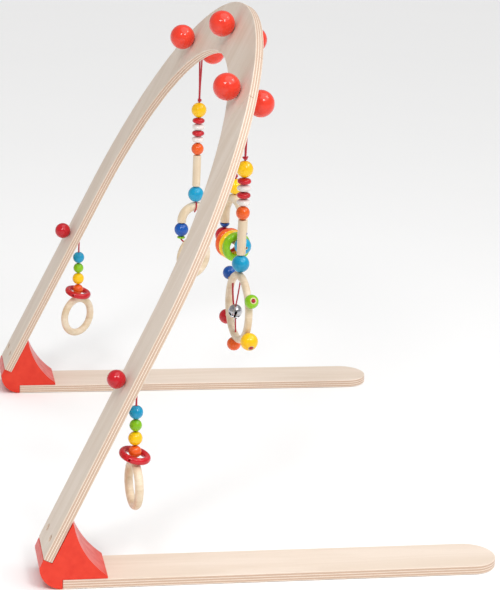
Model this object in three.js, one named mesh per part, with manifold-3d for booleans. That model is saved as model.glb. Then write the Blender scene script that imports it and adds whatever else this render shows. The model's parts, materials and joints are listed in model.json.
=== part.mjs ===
// Wooden activity play gym for a baby, in millimetres, +Z up.
// A leaning plywood arch stands on two long foot boards; wooden toys hang from it.
// +X is the way the foot boards point, +Y is the left side, and the origin is on the
// floor under the middle of the whole gym.

import * as THREE from 'three';
import { mergeVertices } from 'three/addons/utils/BufferGeometryUtils.js';
import Module from 'manifold-3d';

const wasm = await Module();
wasm.setup();

const degrees = THREE.MathUtils.degToRad;

// ---------------------------------------------------------------- driving dimensions

const GAP = 0.3;                 // play left between two pieces that touch
const RUN_OUT = 2;               // how far a drill runs past a face
const OVERCUT = 5;               // how far a pocket runs past an edge
const WELD = 0.3;                // how deep two joined shapes overlap

const PLY = 10;                  // plywood thickness
const BACK_X = -246;             // back face of a leg's bottom end
const LEG_Z = 33.6;              // height of that end's back edge
const LEAN = degrees(64.6);      // the arch's angle to the floor

const HALF_WIDTH = 338;          // middle of the gym to the outside of a leg
const BOARD_WIDTH = 62;          // width of the arch board
const ARCH_RADIUS = 327;         // outside radius of the arch's round top
const ARCH_CENTRE = 257;         // up the board from the legs' ends to the round top's centre
const SPLAY = degrees(2.4);      // how far each leg spreads from upright in the board's plane
const LAP_FROM = degrees(26.6);  // half-lap joints, as angles from the top of the arch
const LAP_TO = degrees(38.6);
const BOLT_ANGLE = degrees(32.7);

const FOOT_WIDTH = 60;
const FOOT_START = -225.3;       // back end of a foot board, under the block
const FOOT_END = 250;
const BLOCK_TIP = 67.5;          // front tip of a block, from BACK_X
const BLOCK_TIP_EDGE = 2.6;      // thickness of that tip
const BLOCK_UP = 48;             // how far the block backs the leg
const BLOCK_BROW = 1.2;          // flat left at the block's top
const BLOCK_HOLLOW = 6.7;        // depth of the block's hollow front
const HEEL_RADIUS = 24;          // rounding of the block's back, centred this far up
const HEEL_CENTRE = 20;          // and this far forward of BACK_X

const BOLT_RADIUS = 3;
const KNOB_RADIUS = 15;
const KNOB_BORE = 3.3;
const KNOB_BORE_DEPTH = 12;
const KNOB_GAP = 2.6;            // room for a cord between the board and a front knob
const SIDE_KNOB_RADIUS = 10;
const SIDE_KNOB_UP = 197.7;
const SIDE_KNOB_ACROSS = 299.4;

const LEG_SCREW = { head: 3.9, shank: 2, headDepth: 2.6, length: 31, sink: 1.2 };
const LEG_SCREW_UP = 19;
const LEG_SCREWS = { outer: 322, inner: 292 };
const FOOT_SCREW = { head: 4, shank: 2, headDepth: 2.6, length: 21, sink: 1.2 };
const FOOT_SCREWS = { rear: -216, front: -201 };

const CORD_RADIUS = 1;
const CORD_BORE = 1.45;
const BELL_CORD_RADIUS = 0.8;
const KNOT_RADIUS = 2.6;
const STRING_KNOT_Z = 419;       // knots of the left and right strings
const CENTRE_KNOT_Z = 361;

const YELLOW_RADIUS = 9.3;
const DISC = { radius: 7.65, height: 7.6, count: 4 };
const ORANGE_RADIUS = 7.7;
const STACK_CORE = 2;
const ROD = { radius: 4.9, length: 39.6 };
const BLUE_RADIUS = 9.8;

const WHEEL = { middle: 36, section: 8, heading: degrees(-7.6) };
const WHEEL_BEADS = {            // [angle in degrees round the ring, radius]
  deepBlue: [38, 7.8],
  green: [156, 7.8],
  yellow: [-147, 9.8],
  orange: [-76, 7.8],
  red: [-29, 8.5],
};
const PEG_RADIUS = 1.6;
const SPOKE_TOP = degrees(94);   // where the bell's cord meets the ring
const SPOKE_BOTTOM = degrees(-77);
const BELL = { radius: 7.8, along: 12, up: -8 };

const BOW_SECTION = 11;
const LEFT_BOW = { radius: 18, heading: degrees(75), straight: 1.5 };
const CENTRE_BOW = { radius: 24, heading: degrees(164), straight: 10 };
const PENDANT = { radius: 8.8, discRadius: 5, discHeight: 3 };
const GRASP_RING = { middle: 22.9, section: 9.2 };
const LEFT_RING_TWIST = degrees(20);

const LOOSE_RING = { middle: 13.4, section: 9 };
const RED_RING = { middle: 13.6, section: 7.2 };
const LOOSE_RING_GAP = 0.4;
const AXLE = { radius: 3.5, drop: 56, beadRadius: 10, beadReach: 26 };
const RISER = { radius: 1.2, top: -45, discRadius: 5, discHeight: 4 };

const SIDE_BEAD_RADII = [7.5, 6.6, 7.6, 6.9];
const SIDE_CORE = 2.3;
const SIDE_TOP_Z = 187.5;
const SIDE_CORD_BEND = 4;        // bend of the cord where it leaves the leg
const SIDE_CORD_START = 0.6;     // where it begins, off the leg's face
const SIDE_CORD_LEAD = 1.2;      // and where its bend begins
const SIDE_RING_DROP = 1.9;
const SIDE_RING_HEADINGS = { left: degrees(53), right: degrees(-6.9) };
const RED_RING_Z = 132;
const RED_RING_TILTS = { left: [6, 11], right: [6, 13] };

const SIDES = { left: 1, right: -1 };

const COLOURS = {
  birch: 0xe8d8c4,
  beech: 0xe6d2ae,
  red: 0xe0442e,
  crimson: 0xcf1f32,
  yellow: 0xf8c41c,
  orange: 0xf07030,
  green: 0x8cbe1e,
  skyBlue: 0x12a6cf,
  deepBlue: 0x0a57a6,
  cordRed: 0xc21a34,
  silver: 0xc8c8cc,
  steel: 0x8f9296,
};

// ---------------------------------------------------------------- helpers

const gym = new THREE.Group();

// The board group's own axes: x runs across the gym, y up the slope, z through the board
// from its back face (0) to its underside (PLY).
const board = new THREE.Group();
const acrossAxis = new THREE.Vector3(0, 1, 0);
const slopeAxis = new THREE.Vector3(Math.cos(LEAN), 0, Math.sin(LEAN));
const throughAxis = new THREE.Vector3().crossVectors(acrossAxis, slopeAxis);
const boardBasis = new THREE.Matrix4().makeBasis(acrossAxis, slopeAxis, throughAxis);
board.quaternion.setFromRotationMatrix(boardBasis);
board.position.set(BACK_X, 0, LEG_Z);
board.updateMatrixWorld(true);
gym.add(board);

function onBoard(across, up, through) {
  return new THREE.Vector3(across, up, through).applyMatrix4(board.matrixWorld);
}

function addPiece(parent, name, geometry, colour, roughness, metalness = 0) {
  const material = new THREE.MeshStandardMaterial({ color: COLOURS[colour], roughness, metalness });
  const mesh = new THREE.Mesh(geometry, material);
  mesh.name = name;
  parent.add(mesh);
  return mesh;
}

function solidOf(geometry) {
  const bare = geometry.clone();
  bare.deleteAttribute('normal');
  bare.deleteAttribute('uv');
  const merged = mergeVertices(bare, 1e-4);
  return new wasm.Manifold(new wasm.Mesh({
    numProp: 3,
    vertProperties: new Float32Array(merged.attributes.position.array),
    triVerts: new Uint32Array(merged.index.array),
  }));
}

function geometryOf(solid) {
  const mesh = solid.getMesh();
  const positions = new Float32Array(mesh.vertProperties);
  const geometry = new THREE.BufferGeometry();
  geometry.setAttribute('position', new THREE.BufferAttribute(positions, 3));
  geometry.setIndex(new THREE.BufferAttribute(new Uint32Array(mesh.triVerts), 1));
  geometry.computeVertexNormals();
  return geometry;
}

function cut(geometry, cutters) {
  let solid = solidOf(geometry);
  for (const cutter of cutters) {
    solid = solid.subtract(solidOf(cutter));
  }
  return geometryOf(solid);
}

function join(geometries) {
  let solid = solidOf(geometries[0]);
  for (const geometry of geometries.slice(1)) {
    solid = solid.add(solidOf(geometry));
  }
  return geometryOf(solid);
}

// A turned solid about +Z; each point is [radius, height], from the bottom up.
function turned(points, segments = 10) {
  const profile = points.map(([radius, height]) => new THREE.Vector2(radius, height));
  return new THREE.LatheGeometry(profile, segments).rotateX(Math.PI / 2);
}

function arcPoints(radius, from, to, steps, centre = 0) {
  const points = [];
  for (let i = 0; i <= steps; i += 1) {
    const angle = from + (to - from) * i / steps;
    const reach = radius * Math.cos(angle);
    points.push([reach < 1e-6 ? 0 : reach, centre + radius * Math.sin(angle)]);
  }
  return points;
}

function rod(radius, from, to, segments = 10) {
  return turned([[0, from], [radius, from], [radius, to], [0, to]], segments);
}

function ball(radius, segments = 10, rings = 6) {
  return turned(arcPoints(radius, -Math.PI / 2, Math.PI / 2, rings), segments);
}

// A ball with a bore right through it along Z.
function boredBall(radius, bore, segments = 12, rings = 5) {
  const tilt = Math.acos(bore / radius);
  const outside = arcPoints(radius, -tilt, tilt, rings);
  return turned([...outside, [...outside[0]]], segments);
}

// Balls on one bored core, from the top down, with the top one's crown at z = 0.
function boredBalls(radii, core, bore) {
  const points = [];
  let z = 0;
  for (const radius of radii) {
    const tilt = Math.acos(core / radius);
    points.push(...arcPoints(radius, tilt, -tilt, 4, z - radius));
    z -= 2 * radius + GAP;
  }
  points.push([bore, points.at(-1)[1]], [bore, points[0][1]]);
  points.reverse();
  points.push([...points[0]]);
  return { geometry: turned(points), bottom: z + GAP };
}

// A closed ring lying flat.
function ring({ middle, section }, segments = 20, sides = 6) {
  const points = [];
  for (let i = 0; i < sides; i += 1) {
    const angle = Math.PI * 2 * i / sides;
    points.push([middle + section * Math.cos(angle) / 2, section * Math.sin(angle) / 2]);
  }
  points.push([...points[0]]);
  return turned(points, segments);
}

function tube(points, radius, steps, sides = 8) {
  const section = new THREE.Shape();
  for (let i = 0; i < sides; i += 1) {
    const angle = Math.PI * 2 * i / sides;
    const draw = i === 0 ? 'moveTo' : 'lineTo';
    section[draw](radius * Math.cos(angle), radius * Math.sin(angle));
  }
  const extrudePath = new THREE.CatmullRomCurve3(points, false, 'centripetal');
  return new THREE.ExtrudeGeometry(section, { steps, extrudePath });
}

function extruded(shape, depth, curveSegments) {
  return new THREE.ExtrudeGeometry(shape, { depth, bevelEnabled: false, curveSegments });
}

// ---------------------------------------------------------------- arch boards

const INNER_RADIUS = ARCH_RADIUS - BOARD_WIDTH;
const MIDDLE_RADIUS = ARCH_RADIUS - BOARD_WIDTH / 2;
const LAP_PLAY = GAP / MIDDLE_RADIUS;
const POCKET_OVERCUT = OVERCUT / MIDDLE_RADIUS;

// A stretch of the round top between two angles from its highest point.
function archSector(from, to, inner, outer, steps) {
  const start = Math.PI / 2 - to;
  const end = Math.PI / 2 - from;
  const shape = new THREE.Shape();
  shape.absarc(0, ARCH_CENTRE, outer, start, end, false);
  shape.absarc(0, ARCH_CENTRE, inner, end, start, true);
  return extruded(shape, PLY, steps);
}

// The half of the board's thickness that a lap joint takes away, from height `through` on.
function lapPocket(from, to, through) {
  return archSector(from, to, INNER_RADIUS - OVERCUT, ARCH_RADIUS + OVERCUT, 8)
    .translate(0, 0, through);
}

function boltPlace(angle) {
  return {
    across: MIDDLE_RADIUS * Math.sin(angle),
    up: ARCH_CENTRE + MIDDLE_RADIUS * Math.cos(angle),
  };
}

function boltHole(angle) {
  const { across, up } = boltPlace(angle);
  return rod(BOLT_RADIUS + GAP, -RUN_OUT, PLY + RUN_OUT, 12).translate(across, up, 0);
}

function archTop() {
  const whole = archSector(-LAP_TO, LAP_TO, INNER_RADIUS, ARCH_RADIUS, 26);
  const through = PLY / 2 - GAP / 2;
  return cut(whole, [
    lapPocket(LAP_FROM - LAP_PLAY, LAP_TO + POCKET_OVERCUT, through),
    lapPocket(-LAP_TO - POCKET_OVERCUT, -LAP_FROM + LAP_PLAY, through),
    boltHole(BOLT_ANGLE),
    boltHole(0),
    boltHole(-BOLT_ANGLE),
  ]);
}

// A countersunk screw along +Z, head first, grown all round by `play`.
function screwShape({ head, shank, headDepth, length }, play) {
  return turned([
    [0, -play],
    [head + play, -play],
    [shank + play, headDepth + play],
    [shank + play, length + play],
    [0, length + play],
  ]);
}

function screwHole(screw) {
  return join([
    screwShape(screw, GAP).translate(0, 0, screw.sink),
    rod(screw.head + GAP, -RUN_OUT, screw.sink),
  ]);
}

function leg(side) {
  const round = Math.PI / 2 - LAP_FROM;
  const outline = new THREE.Shape();
  outline.moveTo(HALF_WIDTH, 0);
  outline.absarc(0, ARCH_CENTRE, ARCH_RADIUS, SPLAY, round, false);
  outline.absarc(0, ARCH_CENTRE, INNER_RADIUS, round, SPLAY, true);
  outline.lineTo(HALF_WIDTH - BOARD_WIDTH / Math.cos(SPLAY), 0);
  outline.lineTo(HALF_WIDTH, 0);
  const screwHoles = Object.values(LEG_SCREWS).map(
    (across) => screwHole(LEG_SCREW).translate(across, LEG_SCREW_UP, 0));
  const left = cut(extruded(outline, PLY, 18), [
    lapPocket(LAP_FROM - POCKET_OVERCUT, LAP_TO + LAP_PLAY, GAP / 2 - PLY / 2),
    boltHole(BOLT_ANGLE),
    rod(CORD_BORE, -RUN_OUT, PLY + RUN_OUT, 8).translate(SIDE_KNOB_ACROSS, SIDE_KNOB_UP, 0),
    ...screwHoles,
  ]);
  return side > 0 ? left : geometryOf(solidOf(left).mirror([1, 0, 0]));
}

addPiece(board, 'arch_top', archTop(), 'birch', 0.55);
for (const [name, side] of Object.entries(SIDES)) {
  addPiece(board, `leg_${name}`, leg(side), 'birch', 0.55);
  for (const [place, across] of Object.entries(LEG_SCREWS)) {
    const screw = addPiece(board, `leg_screw_${name}_${place}`, screwShape(LEG_SCREW, 0), 'steel', 0.35, 1);
    screw.position.set(side * across, LEG_SCREW_UP, LEG_SCREW.sink);
  }
}

// ---------------------------------------------------------------- bolts and knobs

// A round knob with a blind bore that opens downwards, its centre at the origin.
const KNOB_REACH = Math.sqrt(KNOB_RADIUS ** 2 - KNOB_BORE ** 2);
function knob() {
  const mouth = -Math.acos(KNOB_BORE / KNOB_RADIUS);
  const floor = KNOB_BORE_DEPTH - KNOB_REACH;
  const outside = arcPoints(KNOB_RADIUS, mouth, Math.PI / 2, 6);
  return turned([[0, floor], [KNOB_BORE, floor], ...outside], 12);
}

const BOLTS = { left: BOLT_ANGLE, centre: 0, right: -BOLT_ANGLE };
for (const [name, angle] of Object.entries(BOLTS)) {
  const { across, up } = boltPlace(angle);
  const shaft = rod(BOLT_RADIUS, -KNOB_BORE_DEPTH, PLY + KNOB_GAP + KNOB_BORE_DEPTH - GAP, 12);
  const bolt = addPiece(board, `bolt_${name}`, shaft, 'steel', 0.35, 1);
  bolt.position.set(across, up, 0);
  const back = addPiece(board, `knob_${name}_back`, knob(), 'red', 0.3);
  back.rotation.x = Math.PI;
  back.position.set(across, up, -GAP - KNOB_REACH);
  const front = addPiece(board, `knob_${name}_front`, knob(), 'red', 0.3);
  front.position.set(across, up, PLY + KNOB_GAP + KNOB_REACH);
}

// ---------------------------------------------------------------- feet and blocks

const FOOT_MIDDLE = HALF_WIDTH - FOOT_WIDTH / 2;

function foot() {
  const round = FOOT_WIDTH / 2;
  const outline = new THREE.Shape();
  outline.moveTo(FOOT_START, -round);
  outline.absarc(FOOT_END - round, 0, round, -Math.PI / 2, Math.PI / 2, false);
  outline.lineTo(FOOT_START, round);
  outline.lineTo(FOOT_START, -round);
  const screwHoles = Object.values(FOOT_SCREWS).map(
    (x) => screwHole(FOOT_SCREW).translate(x, 0, 0));
  return cut(extruded(outline, PLY, 14), screwHoles);
}

// The block's side view: x is forward from the leg's back face, y is up.
function blockOutline() {
  const slope = new THREE.Vector2(Math.cos(LEAN), Math.sin(LEAN));
  const inward = new THREE.Vector2(Math.sin(LEAN), -Math.cos(LEAN));
  const ledge = new THREE.Vector2(0, LEG_Z).addScaledVector(slope, -GAP);
  const corner = ledge.clone().addScaledVector(inward, PLY + GAP);
  const top = corner.clone().addScaledVector(slope, BLOCK_UP);
  const brow = top.clone().addScaledVector(inward, BLOCK_BROW);
  const tip = new THREE.Vector2(BLOCK_TIP, PLY + GAP + BLOCK_TIP_EDGE);
  const chord = brow.clone().sub(tip);
  const dip = new THREE.Vector2(-chord.y, chord.x).normalize();
  const footEnd = FOOT_START - BACK_X - GAP;
  const outline = new THREE.Shape();
  outline.moveTo(footEnd, 0);
  outline.lineTo(footEnd, PLY + GAP);
  outline.lineTo(BLOCK_TIP, PLY + GAP);
  outline.lineTo(tip.x, tip.y);
  const steps = 10;
  for (let i = 1; i < steps; i += 1) {
    const along = i / steps;
    const depth = 4 * BLOCK_HOLLOW * along * (1 - along);
    const point = tip.clone().addScaledVector(chord, along).addScaledVector(dip, depth);
    outline.lineTo(point.x, point.y);
  }
  for (const point of [brow, top, corner, ledge]) {
    outline.lineTo(point.x, point.y);
  }
  outline.absarc(HEEL_CENTRE, HEEL_RADIUS, HEEL_RADIUS, Math.PI, Math.PI * 1.5, false);
  outline.lineTo(footEnd, 0);
  return outline;
}

function block(side) {
  const solid = extruded(blockOutline(), FOOT_WIDTH, 8)
    .rotateX(Math.PI / 2)
    .translate(BACK_X, side * FOOT_MIDDLE + FOOT_WIDTH / 2, 0);
  const legScrewHoles = Object.values(LEG_SCREWS).map((across) => screwHole(LEG_SCREW)
    .translate(side * across, LEG_SCREW_UP, 0)
    .applyMatrix4(board.matrixWorld));
  const footScrewHoles = Object.values(FOOT_SCREWS).map(
    (x) => screwHole(FOOT_SCREW).translate(x, side * FOOT_MIDDLE, 0));
  return cut(solid, [...legScrewHoles, ...footScrewHoles]);
}

for (const [name, side] of Object.entries(SIDES)) {
  addPiece(gym, `block_${name}`, block(side), 'red', 0.4);
  addPiece(gym, `foot_${name}`, foot(), 'birch', 0.55).position.y = side * FOOT_MIDDLE;
  for (const [place, x] of Object.entries(FOOT_SCREWS)) {
    const screw = addPiece(gym, `foot_screw_${name}_${place}`, screwShape(FOOT_SCREW, 0), 'steel', 0.35, 1);
    screw.position.set(x, side * FOOT_MIDDLE, FOOT_SCREW.sink);
  }
}

// ---------------------------------------------------------------- cords from the bolts

const HANG_THROUGH = PLY + KNOB_GAP / 2;
const LOOP_RADIUS = BOLT_RADIUS + GAP + CORD_RADIUS + 0.6;

// A loop of cord over a bolt: it spreads round the knob and meets in a knot below.
function hangingLoop({ across, up }, knotZ) {
  const hook = onBoard(across, up, HANG_THROUGH);
  const drop = hook.z - knotZ;
  const strand = [               // [out from the middle, down from the bolt], from the knot up
    [1.2, drop - 1],
    [2.4, drop * 0.75],
    [5.4, drop * 0.5],
    [7.6, 20],
    [8.4, 11],
    [7, 4.5],
  ];
  const rising = strand.map(([out, down]) => new THREE.Vector3(hook.x, across + out, hook.z - down));
  const falling = strand.map(([out, down]) => new THREE.Vector3(hook.x, across - out, hook.z - down));
  const overBolt = [0, 45, 90, 135, 180].map(degrees).map((angle) => onBoard(
    across + LOOP_RADIUS * Math.cos(angle), up + LOOP_RADIUS * Math.sin(angle), HANG_THROUGH));
  const steps = Math.round(16 + drop * 0.26);
  const loop = tube([...rising, ...overBolt, ...falling.reverse()], CORD_RADIUS, steps);
  return join([loop, ball(KNOT_RADIUS, 8, 4).translate(hook.x, across, knotZ)]);
}

const hooks = {};
for (const [name, angle] of Object.entries(BOLTS)) {
  const place = boltPlace(angle);
  const knotZ = name === 'centre' ? CENTRE_KNOT_Z : STRING_KNOT_Z;
  hooks[name] = onBoard(place.across, place.up, HANG_THROUGH);
  addPiece(gym, `cord_${name}`, hangingLoop(place, knotZ), 'cordRed', 0.8);
}

// ---------------------------------------------------------------- bead strings

// Flattened discs over a ball, threaded on one cord and made as one turned piece.
function beadStack() {
  const tall = 2 * ORANGE_RADIUS + GAP;
  const beads = [{ radius: ORANGE_RADIUS, centre: ORANGE_RADIUS, squash: 1 }];
  for (let i = 0; i < DISC.count; i += 1) {
    beads.push({
      radius: DISC.radius,
      centre: tall + DISC.height / 2 + i * (DISC.height + GAP),
      squash: DISC.height / 2 / DISC.radius,
    });
  }
  const outside = beads.flatMap(({ radius, centre, squash }) => {
    const tilt = Math.acos(STACK_CORE / radius);
    return arcPoints(radius, -tilt, tilt, 4).map(([r, h]) => [r, centre + h * squash]);
  });
  const points = [[0, outside[0][1]], ...outside, [0, outside.at(-1)[1]]];
  return { geometry: turned(points), height: tall + DISC.count * (DISC.height + GAP) - GAP };
}

// A string of beads under its knot. Returns the height of its lowest point.
function beadString(name) {
  const stack = beadStack();
  const string = new THREE.Group();
  string.position.set(hooks[name].x, hooks[name].y, 0);
  gym.add(string);
  let z = STRING_KNOT_Z - KNOT_RADIUS - GAP - YELLOW_RADIUS;
  addPiece(string, `yellow_bead_${name}`, ball(YELLOW_RADIUS), 'yellow', 0.25).position.z = z;
  z -= YELLOW_RADIUS + GAP + stack.height;
  addPiece(string, `bead_stack_${name}`, stack.geometry, 'crimson', 0.25).position.z = z;
  z -= GAP + ROD.length;
  addPiece(string, `rod_bead_${name}`, rod(ROD.radius, 0, ROD.length, 12), 'beech', 0.5).position.z = z;
  z -= GAP + BLUE_RADIUS;
  addPiece(string, `blue_bead_${name}`, ball(BLUE_RADIUS), 'skyBlue', 0.25).position.z = z;
  return z - BLUE_RADIUS;
}

// A group whose x is a flat heading, as an angle from +Y towards +X, and whose z is up.
function standingGroup(origin, angle) {
  const along = new THREE.Vector3(Math.sin(angle), Math.cos(angle), 0);
  const up = new THREE.Vector3(0, 0, 1);
  const basis = new THREE.Matrix4().makeBasis(along, up.clone().cross(along), up);
  const group = new THREE.Group();
  group.quaternion.setFromRotationMatrix(basis);
  group.position.copy(origin);
  gym.add(group);
  return group;
}

// ---------------------------------------------------------------- right string: bead wheel with a bell

const rightBottom = beadString('right');
const wheelCentre = hooks.right.clone().setZ(rightBottom - GAP - WHEEL.middle - WHEEL.section / 2);
const wheel = standingGroup(wheelCentre, WHEEL.heading);

function beadWheel() {
  const beads = Object.values(WHEEL_BEADS).flatMap(([angle, radius]) => {
    const reach = WHEEL.middle + WHEEL.section / 2 + radius - WELD;
    const peg = rod(PEG_RADIUS, WHEEL.middle, reach, 6);
    const bead = ball(radius, 8, 5).translate(0, 0, reach);
    return [peg, bead].map((shape) => shape.rotateY(Math.PI / 2 - degrees(angle)));
  });
  return join([ring(WHEEL, 28, 6).rotateX(Math.PI / 2), ...beads]);
}

const SPOKE_REACH = WHEEL.middle - WHEEL.section / 2 - GAP;
function bellCord(radius) {
  const [top, bottom] = [SPOKE_TOP, SPOKE_BOTTOM].map((angle) => new THREE.Vector3(
    SPOKE_REACH * Math.cos(angle), 0, SPOKE_REACH * Math.sin(angle)));
  return tube([top, new THREE.Vector3(BELL.along, 0, BELL.up), bottom], radius, 14);
}

function bell() {
  const whole = ball(BELL.radius).translate(BELL.along, 0, BELL.up);
  return cut(whole, [bellCord(BELL_CORD_RADIUS + GAP)]);
}

addPiece(wheel, 'bead_wheel', beadWheel(), 'beech', 0.5);
addPiece(wheel, 'bell_cord', bellCord(BELL_CORD_RADIUS), 'cordRed', 0.8);
addPiece(wheel, 'bell', bell(), 'silver', 0.2, 1);

// ---------------------------------------------------------------- bows

// A bent wooden bow: a half ring with straight ends, standing in x-z with its crown at z = 0.
function bow({ radius, straight }) {
  const bend = radius + BOW_SECTION / 2;
  const points = [new THREE.Vector3(-radius, 0, -bend - straight)];
  const steps = 12;
  for (let i = 0; i <= steps; i += 1) {
    const angle = Math.PI - Math.PI * i / steps;
    points.push(new THREE.Vector3(radius * Math.cos(angle), 0, radius * Math.sin(angle) - bend));
  }
  points.push(new THREE.Vector3(radius, 0, -bend - straight));
  return tube(points, BOW_SECTION / 2, 16);
}

// ---------------------------------------------------------------- left string: bow, pendants and ring

function pendant() {
  const foot = -PENDANT.radius - PENDANT.discHeight;
  const disc = rod(PENDANT.discRadius, foot, WELD - PENDANT.radius, 12);
  return join([ball(PENDANT.radius), disc]);
}

const leftBottom = beadString('left');
const leftBow = standingGroup(hooks.left.clone().setZ(leftBottom - GAP), LEFT_BOW.heading);
addPiece(leftBow, 'bow_left', bow(LEFT_BOW), 'beech', 0.5);

const pendantZ = -LEFT_BOW.radius - BOW_SECTION / 2 - LEFT_BOW.straight - GAP - PENDANT.radius;
for (const [place, side] of Object.entries({ front: -1, rear: 1 })) {
  const bead = addPiece(leftBow, `pendant_${place}`, pendant(), 'deepBlue', 0.25);
  bead.position.set(side * LEFT_BOW.radius, 0, pendantZ);
}

// The ring sits against both pendants' discs, on its rounded shoulders.
const leftRingOutside = GRASP_RING.middle + GRASP_RING.section / 2;
const leftRingRise = Math.sqrt(leftRingOutside ** 2 - (LEFT_BOW.radius - PENDANT.discRadius) ** 2);
const leftRing = addPiece(
  leftBow, 'grasp_ring_left', ring(GRASP_RING).rotateX(Math.PI / 2), 'beech', 0.5);
leftRing.position.z = pendantZ - PENDANT.radius - PENDANT.discHeight - 2 * GAP - leftRingRise;
leftRing.rotation.z = LEFT_RING_TWIST;

// ---------------------------------------------------------------- centre string: bow with rings on an axle

function ringAxle() {
  const dowel = rod(AXLE.radius, -CENTRE_BOW.radius, CENTRE_BOW.radius, 12)
    .rotateY(Math.PI / 2)
    .translate(0, 0, -AXLE.drop);
  const ends = [-1, 1].flatMap((side) => [
    ball(AXLE.beadRadius).translate(side * AXLE.beadReach, 0, -AXLE.drop),
    rod(RISER.radius, -AXLE.drop, RISER.top, 8).translate(side * CENTRE_BOW.radius, 0, 0),
    rod(RISER.discRadius, RISER.top - WELD, RISER.top + RISER.discHeight)
      .translate(side * CENTRE_BOW.radius, 0, 0),
  ]);
  return join([dowel, ...ends]);
}

const centreBead = addPiece(gym, 'yellow_bead_centre', ball(YELLOW_RADIUS), 'yellow', 0.25);
centreBead.position.copy(hooks.centre).setZ(CENTRE_KNOT_Z - KNOT_RADIUS - GAP - YELLOW_RADIUS);
const centreBottom = centreBead.position.z - YELLOW_RADIUS - GAP;
const centreBow = standingGroup(hooks.centre.clone().setZ(centreBottom), CENTRE_BOW.heading);
addPiece(centreBow, 'bow_centre', bow(CENTRE_BOW), 'beech', 0.5);
addPiece(centreBow, 'ring_axle', ringAxle(), 'beech', 0.5);

const ringDrop = AXLE.drop + LOOSE_RING.middle - LOOSE_RING.section / 2 - AXLE.radius - GAP;
['orange', 'yellow', 'green'].forEach((colour, i) => {
  const loose = ring(LOOSE_RING).rotateY(Math.PI / 2);
  const toyRing = addPiece(centreBow, `toy_ring_${colour}`, loose, colour, 0.25);
  toyRing.position.set((i - 1) * (LOOSE_RING.section + LOOSE_RING_GAP), 0, -ringDrop);
});

// ---------------------------------------------------------------- side strings

// Where the side cord's bend ends, hanging straight down, seen from the hole in the leg.
const bendEnd = new THREE.Vector2(
  SIDE_CORD_LEAD * throughAxis.x + SIDE_CORD_BEND * (1 + throughAxis.z),
  SIDE_CORD_LEAD * throughAxis.z - SIDE_CORD_BEND * throughAxis.x);

// The cord comes out of the leg square to its face and bends down through the beads.
function sideCord(across, bottom) {
  const mouth = onBoard(across, SIDE_KNOB_UP, PLY);
  const steps = 5;
  const bend = [];
  for (let i = 0; i <= steps; i += 1) {
    const angle = Math.PI / 2 - LEAN + LEAN * i / steps;
    bend.push(new THREE.Vector3(
      mouth.x + bendEnd.x - SIDE_CORD_BEND * (1 - Math.sin(angle)),
      across,
      mouth.z + bendEnd.y + SIDE_CORD_BEND * Math.cos(angle)));
  }
  const hanging = bend.at(-1).clone();
  const points = [
    onBoard(across, SIDE_KNOB_UP, PLY + SIDE_CORD_START),
    ...bend,
    hanging.clone().setZ((hanging.z + bottom) / 2),
    hanging.clone().setZ(bottom),
  ];
  return tube(points, CORD_RADIUS, 26);
}

function sideString(name, side) {
  const across = side * SIDE_KNOB_ACROSS;
  const sideKnob = addPiece(
    board, `side_knob_${name}`, boredBall(SIDE_KNOB_RADIUS, CORD_BORE), 'crimson', 0.25);
  const reach = Math.sqrt(SIDE_KNOB_RADIUS ** 2 - CORD_BORE ** 2);
  sideKnob.position.set(across, SIDE_KNOB_UP, -GAP - reach);

  const x = onBoard(across, SIDE_KNOB_UP, PLY).x + bendEnd.x;
  const string = new THREE.Group();
  string.position.set(x, across, 0);
  gym.add(string);
  const beads = boredBalls(SIDE_BEAD_RADII, SIDE_CORE, CORD_BORE);
  const beadsBottom = SIDE_TOP_Z + beads.bottom;
  addPiece(string, `side_beads_${name}`, beads.geometry, 'yellow', 0.25).position.z = SIDE_TOP_Z;
  addPiece(gym, `cord_side_${name}`, sideCord(across, beadsBottom + 1), 'cordRed', 0.8);

  const [tiltX, tiltY] = RED_RING_TILTS[name].map(degrees);
  const redRing = addPiece(string, `red_ring_${name}`, ring(RED_RING), 'crimson', 0.25);
  redRing.rotation.set(tiltX, tiltY, 0);
  redRing.position.z = RED_RING_Z;

  const hoopZ = beadsBottom - SIDE_RING_DROP - GRASP_RING.middle - GRASP_RING.section / 2;
  const hoop = standingGroup(new THREE.Vector3(x, across, hoopZ), SIDE_RING_HEADINGS[name]);
  addPiece(hoop, `grasp_ring_side_${name}`, ring(GRASP_RING).rotateX(Math.PI / 2), 'beech', 0.5);
}

for (const [name, side] of Object.entries(SIDES)) {
  sideString(name, side);
}

export default gym;
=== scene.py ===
import json
from math import acos, atan2, copysign, cos, hypot, pi, radians, sin, sqrt, tau

import bmesh
import bpy
from mathutils import Matrix, Vector

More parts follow.
